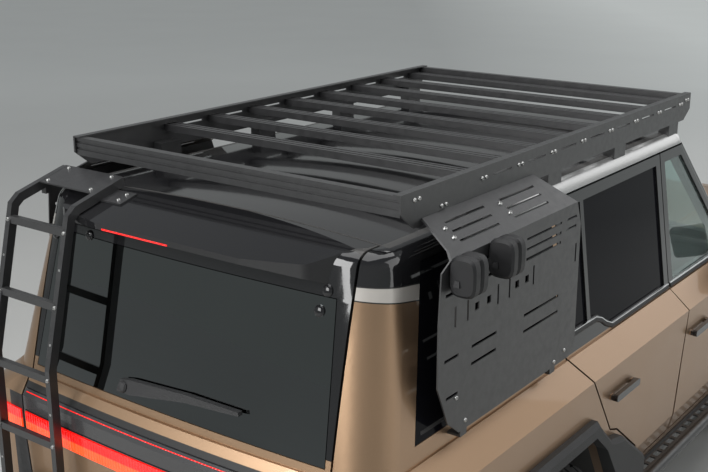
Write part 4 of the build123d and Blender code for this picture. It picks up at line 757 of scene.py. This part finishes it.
def ladder_bolts():
    """Bolts through the ladder's rails at each rung, rivets between them, and plate bolts."""
    bolts = Shape()
    for x in LADDER_X:
        for z in RUNG_HEIGHTS:
            bolts.bolt(*from_behind("ladder", x, z), RUNG_BOLT_R)
        for z in RIVET_HEIGHTS:
            bolts.turned(*from_behind("ladder", x, z), RIVET, 10)
    for x, y in LADDER_PLATE_BOLTS:
        bolts.bolt(*from_above("ladder", x, y), PLATE_BOLT_R)
    bolts.piece("ladder_bolts", "tail_door", STEEL, "steel")


# Rubber clamps on the right panel
CLAMP_Y = (1.990, 1.755)
CLAMP_HALF = 0.044
PANEL_X = -0.910
PIN = ((0.0, 0.005), (0.030, 0.005))
PIN_SHIFT = -0.035
HOOKS = ((1.792, 0.022), (1.776, 0.010))         # height of the middle, and size
HOOK_X = (-0.946, -0.938)
HOOK_HALF = 0.010
HOOK_SLANT = 0.001
STRAP_X = (-0.952, -0.930)
STRAP_Z = (1.815, 1.835)
STRAP_HALF = 0.050
STRAP_SLANT = 0.003
LOBE_CORNERS = 24
LOBE_POWER = 0.55                # under 1 makes the lobes' outline squarer than an ellipse
LOBE_END = 0.86                  # size of a lobe's end as a share of its middle
LOBE_ROUND = 0.008
GROOVE_HALF = 0.003
CORE_HALF = 0.006
CORE_INSET = 0.012


def clamp_latches():
    """Steel hooks and rubber levers at the clamps."""
    hooks, straps = Shape(), Shape()
    for y in CLAMP_Y:
        pin_y = y + PIN_SHIFT
        for z, tall in HOOKS:
            hooks.turned((PANEL_X, pin_y, z), (-1, 0, 0), PIN, 10)
            hooks.block((HOOK_X[0], pin_y - HOOK_HALF, z - tall / 2),
                        (HOOK_X[1], pin_y + HOOK_HALF, z + tall / 2), HOOK_SLANT)
        straps.block((STRAP_X[0], y - STRAP_HALF, STRAP_Z[0]),
                     (STRAP_X[1], y + STRAP_HALF, STRAP_Z[1]), STRAP_SLANT)
    hooks.piece("clamp_hooks", "body", STEEL, "steel")
    straps.piece("clamp_straps", "body", SOFT_RUBBER, "rubber")


def clamp_lobes():
    """Rubber clamps, each with two rounded lobes either side of a groove."""
    (x0, _, z0), (x1, _, z1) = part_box("panel_clamps")
    middle_x, middle_z = (x0 + x1) / 2, (z0 + z1) / 2

    def outline(y, share):
        """A ring of corners at a place along the clamp, at a share of the lobe's full size."""
        ring = []
        for angle in turns(LOBE_CORNERS):
            c, s = math.cos(angle), math.sin(angle)
            x = (x1 - x0) / 2 * math.copysign(abs(c) ** LOBE_POWER, c)
            z = (z1 - z0) / 2 * math.copysign(abs(s) ** LOBE_POWER, s)
            ring.append((middle_x + x * share, y, middle_z + z * share))
        return ring

    made = Shape()
    for y in CLAMP_Y:
        for low, high in ((-CLAMP_HALF, -GROOVE_HALF), (GROOVE_HALF, CLAMP_HALF)):
            sizes = ((low, LOBE_END), (low + LOBE_ROUND, 1.0),
                     (high - LOBE_ROUND, 1.0), (high, LOBE_END))
            rings = [outline(y + along, share) for along, share in sizes]
            for first, last in zip(rings, rings[1:]):
                made.between(last, first)
        made.block((x0 + CORE_INSET, y - CORE_HALF, z0 + CORE_INSET),
                   (x1, y + CORE_HALF, z1 - CORE_INSET))
    lobes = made.piece("clamp_lobes", "body", SOFT_RUBBER, "rubber")
    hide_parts("panel_clamps")


# Tail
KNOB = ((-0.004, 0.019), (0.004, 0.019), (0.009, 0.014), (0.011, 0.007))
KNOB_PLACES = (("tailgate", -0.604, 1.790), ("tail_glass", -0.585, 1.725),
               ("tailgate", 0.660, 1.748), ("tailgate", 0.469, 1.777))
WIPER_CAP = ((-0.006, 0.021), (0.004, 0.021), (0.010, 0.016), (0.012, 0.008))
WIPER_PIVOT = (0.176, 1.317)
# Name: node, x from and to, height, width, thickness, finish, slot
TAIL_LINES = {
    "tail_line": ("tailgate", -0.690, 0.690, 1.1655, 0.0035, 0.0015, RED_LENS, "lamp_red"),
    "high_lamp_line": ("spoiler", -0.016, 0.300, 1.849, 0.006, 0.0015, RED_LENS, "lamp_red"),
    "tail_strip_edge_low": ("tailgate", -0.694, 0.694, 1.0925, 0.005, 0.003, BLACK, "paint_black"),
    "tail_strip_edge_high": ("tailgate", -0.694, 0.694, 1.1775, 0.005, 0.003, BLACK, "paint_black"),
}
TAIL_LINE_STEPS = 24


def tail_details():
    """Round fittings on the rear glass, the wiper's cap, and thin lines across the tail."""
    knobs = Shape()
    for node, x, z in KNOB_PLACES:
        knobs.turned(*from_behind(node, x, z), KNOB, 24)
    knobs.piece("glass_knobs", "tail_door", BLACK, "paint_black")
    cap = Shape()
    cap.turned(*from_behind("rear_wiper", *WIPER_PIVOT), WIPER_CAP, 24)
    cap.piece("wiper_cap", "tail_door", TRIM, "trim_black")
    for name, (node, x0, x1, z, wide, thick, finish, slot) in TAIL_LINES.items():
        places = [from_behind(node, x0 + (x1 - x0) * n / TAIL_LINE_STEPS, z)
                  for n in range(TAIL_LINE_STEPS + 1)]
        line = Shape()
        line.ribbon(*zip(*places), wide, thick)
        line.piece(name, "tail_door", finish, slot)


SEAT_VOXEL = 0.014
CROWN_FACTOR = 0.6
CROWN_ROUNDS = 10


def soft_seats():
    """The seats' solids with crowned, rounded cushions instead of flat faces."""
    made = bpy.data.objects.new("seat_cushions", nodes["seats"].data.copy())
    scene.collection.objects.link(made)
    remesh = made.modifiers.new("skin", "REMESH")
    remesh.mode = "VOXEL"
    remesh.voxel_size = SEAT_VOXEL
    remesh.use_smooth_shade = True
    smooth = made.modifiers.new("crown", "SMOOTH")
    smooth.factor = CROWN_FACTOR
    smooth.iterations = CROWN_ROUNDS
    depsgraph = bpy.context.evaluated_depsgraph_get()
    final = bpy.data.meshes.new_from_object(made.evaluated_get(depsgraph))
    made.modifiers.clear()
    made.data = final
    final.materials.clear()
    final.materials.append(LEATHER)
    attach(made, "body")
    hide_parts("seats")


bpy.context.view_layer.update()          # so that the lines that look for the skin find it
belt_mouldings()
for side, sign in SIDES:
    for end, axle_y in zip(ENDS, AXLES):
        tyre_piece(end, side, sign, axle_y)
        wheel_nuts(end, side, sign, axle_y)
rack_bolts()
panel_bolts()
clamp_latches()
ladder_bolts()
tail_details()
soft_seats()
clamp_lobes()

# Floor, light and camera. The floor's painted light, a lighter colour and a glow, goes by the
# distance from the car in metres.
FLOOR_SIZE = 80
PAINTED_LIGHT_AWAY = (3.0, 16.0)
PAINTED_GLOW_AWAY = (4.0, 14.0)
PAINTED_GLOW_FAR = 0.14
PHOTO_RIGHT = (-0.80, -0.59, 0.0)        # the way across the floor to the photograph's right
PAINTED_GLOW_ACROSS = (1.0, 7.0)
PAINTED_GLOW_RIGHT = 0.20
# Name: place, target, size, power
LIGHTS = {
    "ceiling": ((0, 0.5, 7.5), (0, 0.5, 0), 8.0, 430),
    "behind": ((1.0, 9.0, 5.0), (0, 1.5, 1.0), 5.0, 620),
    "right": ((-7.5, -2.0, 4.5), (-0.9, 0.5, 1.0), 6.0, 170),
    "front": ((-2.0, -9.0, 5.0), (0, -1.0, 0.8), 6.0, 130),
}
# Sine of the height over the horizon, and the room's colour there
ROOM_LOW = (0.02, (0.27, 0.29, 0.285, 1.0))
ROOM_MIDDLE = (0.28, (0.34, 0.35, 0.35, 1.0))
ROOM_HIGH = (0.75, (0.17, 0.18, 0.19, 1.0))
CAMERA_PLACE = (-2.593, 4.802, 2.933)
CAMERA_YAW = math.radians(36.38)
CAMERA_PITCH = math.radians(16.61)
CAMERA_ROLL = math.radians(0.20)
FOCAL_PIXELS = 1124.8
PHOTO_PIXELS = 708
SENSOR_WIDTH = 36.0                      # mm


def studio_floor():
    """A pale floor that isn't part of the car, with painted light: its colour is lighter far from
    the car, and it glows a little far away and to the right.
    """
    bpy.ops.mesh.primitive_plane_add(size=FLOOR_SIZE, location=(0, 0, 0))
    floor = bpy.context.object
    floor.name = "floor"
    made = Finish("floor_painted_light", FLOOR_NEAR, rough=0.55)
    squares = [made.math("MULTIPLY", along, along) for along in (made.x, made.y)]
    away = made.math("SQRT", made.math("ADD", *squares))
    # painted light: the floor's colour grows lighter far from the car
    painted_light_share = made.ranged(away, *PAINTED_LIGHT_AWAY, 0.0, 1.0)
    made.colour = made.mix(painted_light_share, made.colour, (*FLOOR_FAR_PAINTED_LIGHT, 1.0))
    made.mottle(made.noise(0.6), 0.03)
    # painted light: the floor glows more far from the car and towards the right
    across = made.add("ShaderNodeVectorMath", made.spot, PHOTO_RIGHT, operation="DOT_PRODUCT")
    glow = made.math("ADD", made.ranged(away, *PAINTED_GLOW_AWAY, 0.0, PAINTED_GLOW_FAR),
                     made.ranged(across.outputs["Value"], *PAINTED_GLOW_ACROSS, 0.0, PAINTED_GLOW_RIGHT))
    made.feed(made.shader.inputs["Emission Color"], (*FLOOR_PAINTED_GLOW, 1.0))
    made.feed(made.shader.inputs["Emission Strength"], glow)
    floor.data.materials.append(made.done())


def room_light():
    """A soft grey room, lightest a little over the horizon."""
    world = bpy.data.worlds.new("surround")
    world.use_nodes = True
    tree = world.node_tree
    back = tree.nodes["Background"]
    spot = tree.nodes.new("ShaderNodeTexCoord")
    parts = tree.nodes.new("ShaderNodeSeparateXYZ")
    ramp = tree.nodes.new("ShaderNodeValToRGB")
    tree.links.new(spot.outputs["Generated"], parts.inputs[0])
    tree.links.new(parts.outputs["Z"], ramp.inputs["Fac"])
    tree.links.new(ramp.outputs["Color"], back.inputs["Color"])
    stops = ramp.color_ramp.elements
    stops[0].position, stops[0].color = ROOM_LOW
    stops[1].position, stops[1].color = ROOM_HIGH
    stops.new(ROOM_MIDDLE[0]).color = ROOM_MIDDLE[1]
    back.inputs["Strength"].default_value = 1.0
    scene.world = world


def soft_light(name, place, target, size, power):
    """A square area lamp at a place, facing a target."""
    lamp = bpy.data.lights.new(name, "AREA")
    lamp.size = size
    lamp.energy = power
    holder = bpy.data.objects.new(name, lamp)
    scene.collection.objects.link(holder)
    holder.location = place
    away = Vector(target) - Vector(place)
    holder.rotation_euler = away.to_track_quat("-Z", "Y").to_euler()


def photo_camera():
    """The camera that took the photograph, as its lines tell."""
    ahead = Vector((
        math.sin(CAMERA_YAW) * math.cos(CAMERA_PITCH),
        -math.cos(CAMERA_YAW) * math.cos(CAMERA_PITCH),
        -math.sin(CAMERA_PITCH),
    ))
    level = ahead.cross(Vector((0, 0, 1))).normalized()
    upright = level.cross(ahead)
    right = level * math.cos(CAMERA_ROLL) + upright * math.sin(CAMERA_ROLL)
    up = upright * math.cos(CAMERA_ROLL) - level * math.sin(CAMERA_ROLL)
    data = bpy.data.cameras.new("photo_camera")
    data.sensor_width = SENSOR_WIDTH
    data.lens = SENSOR_WIDTH * FOCAL_PIXELS / PHOTO_PIXELS
    camera = bpy.data.objects.new("photo_camera", data)
    scene.collection.objects.link(camera)
    turn = Matrix((right, up, -ahead)).transposed().to_4x4()
    camera.matrix_world = Matrix.Translation(CAMERA_PLACE) @ turn
    scene.camera = camera


studio_floor()
room_light()
for name, light in LIGHTS.items():
    soft_light(name, *light)
photo_camera()
scene.view_settings.view_transform = "Standard"
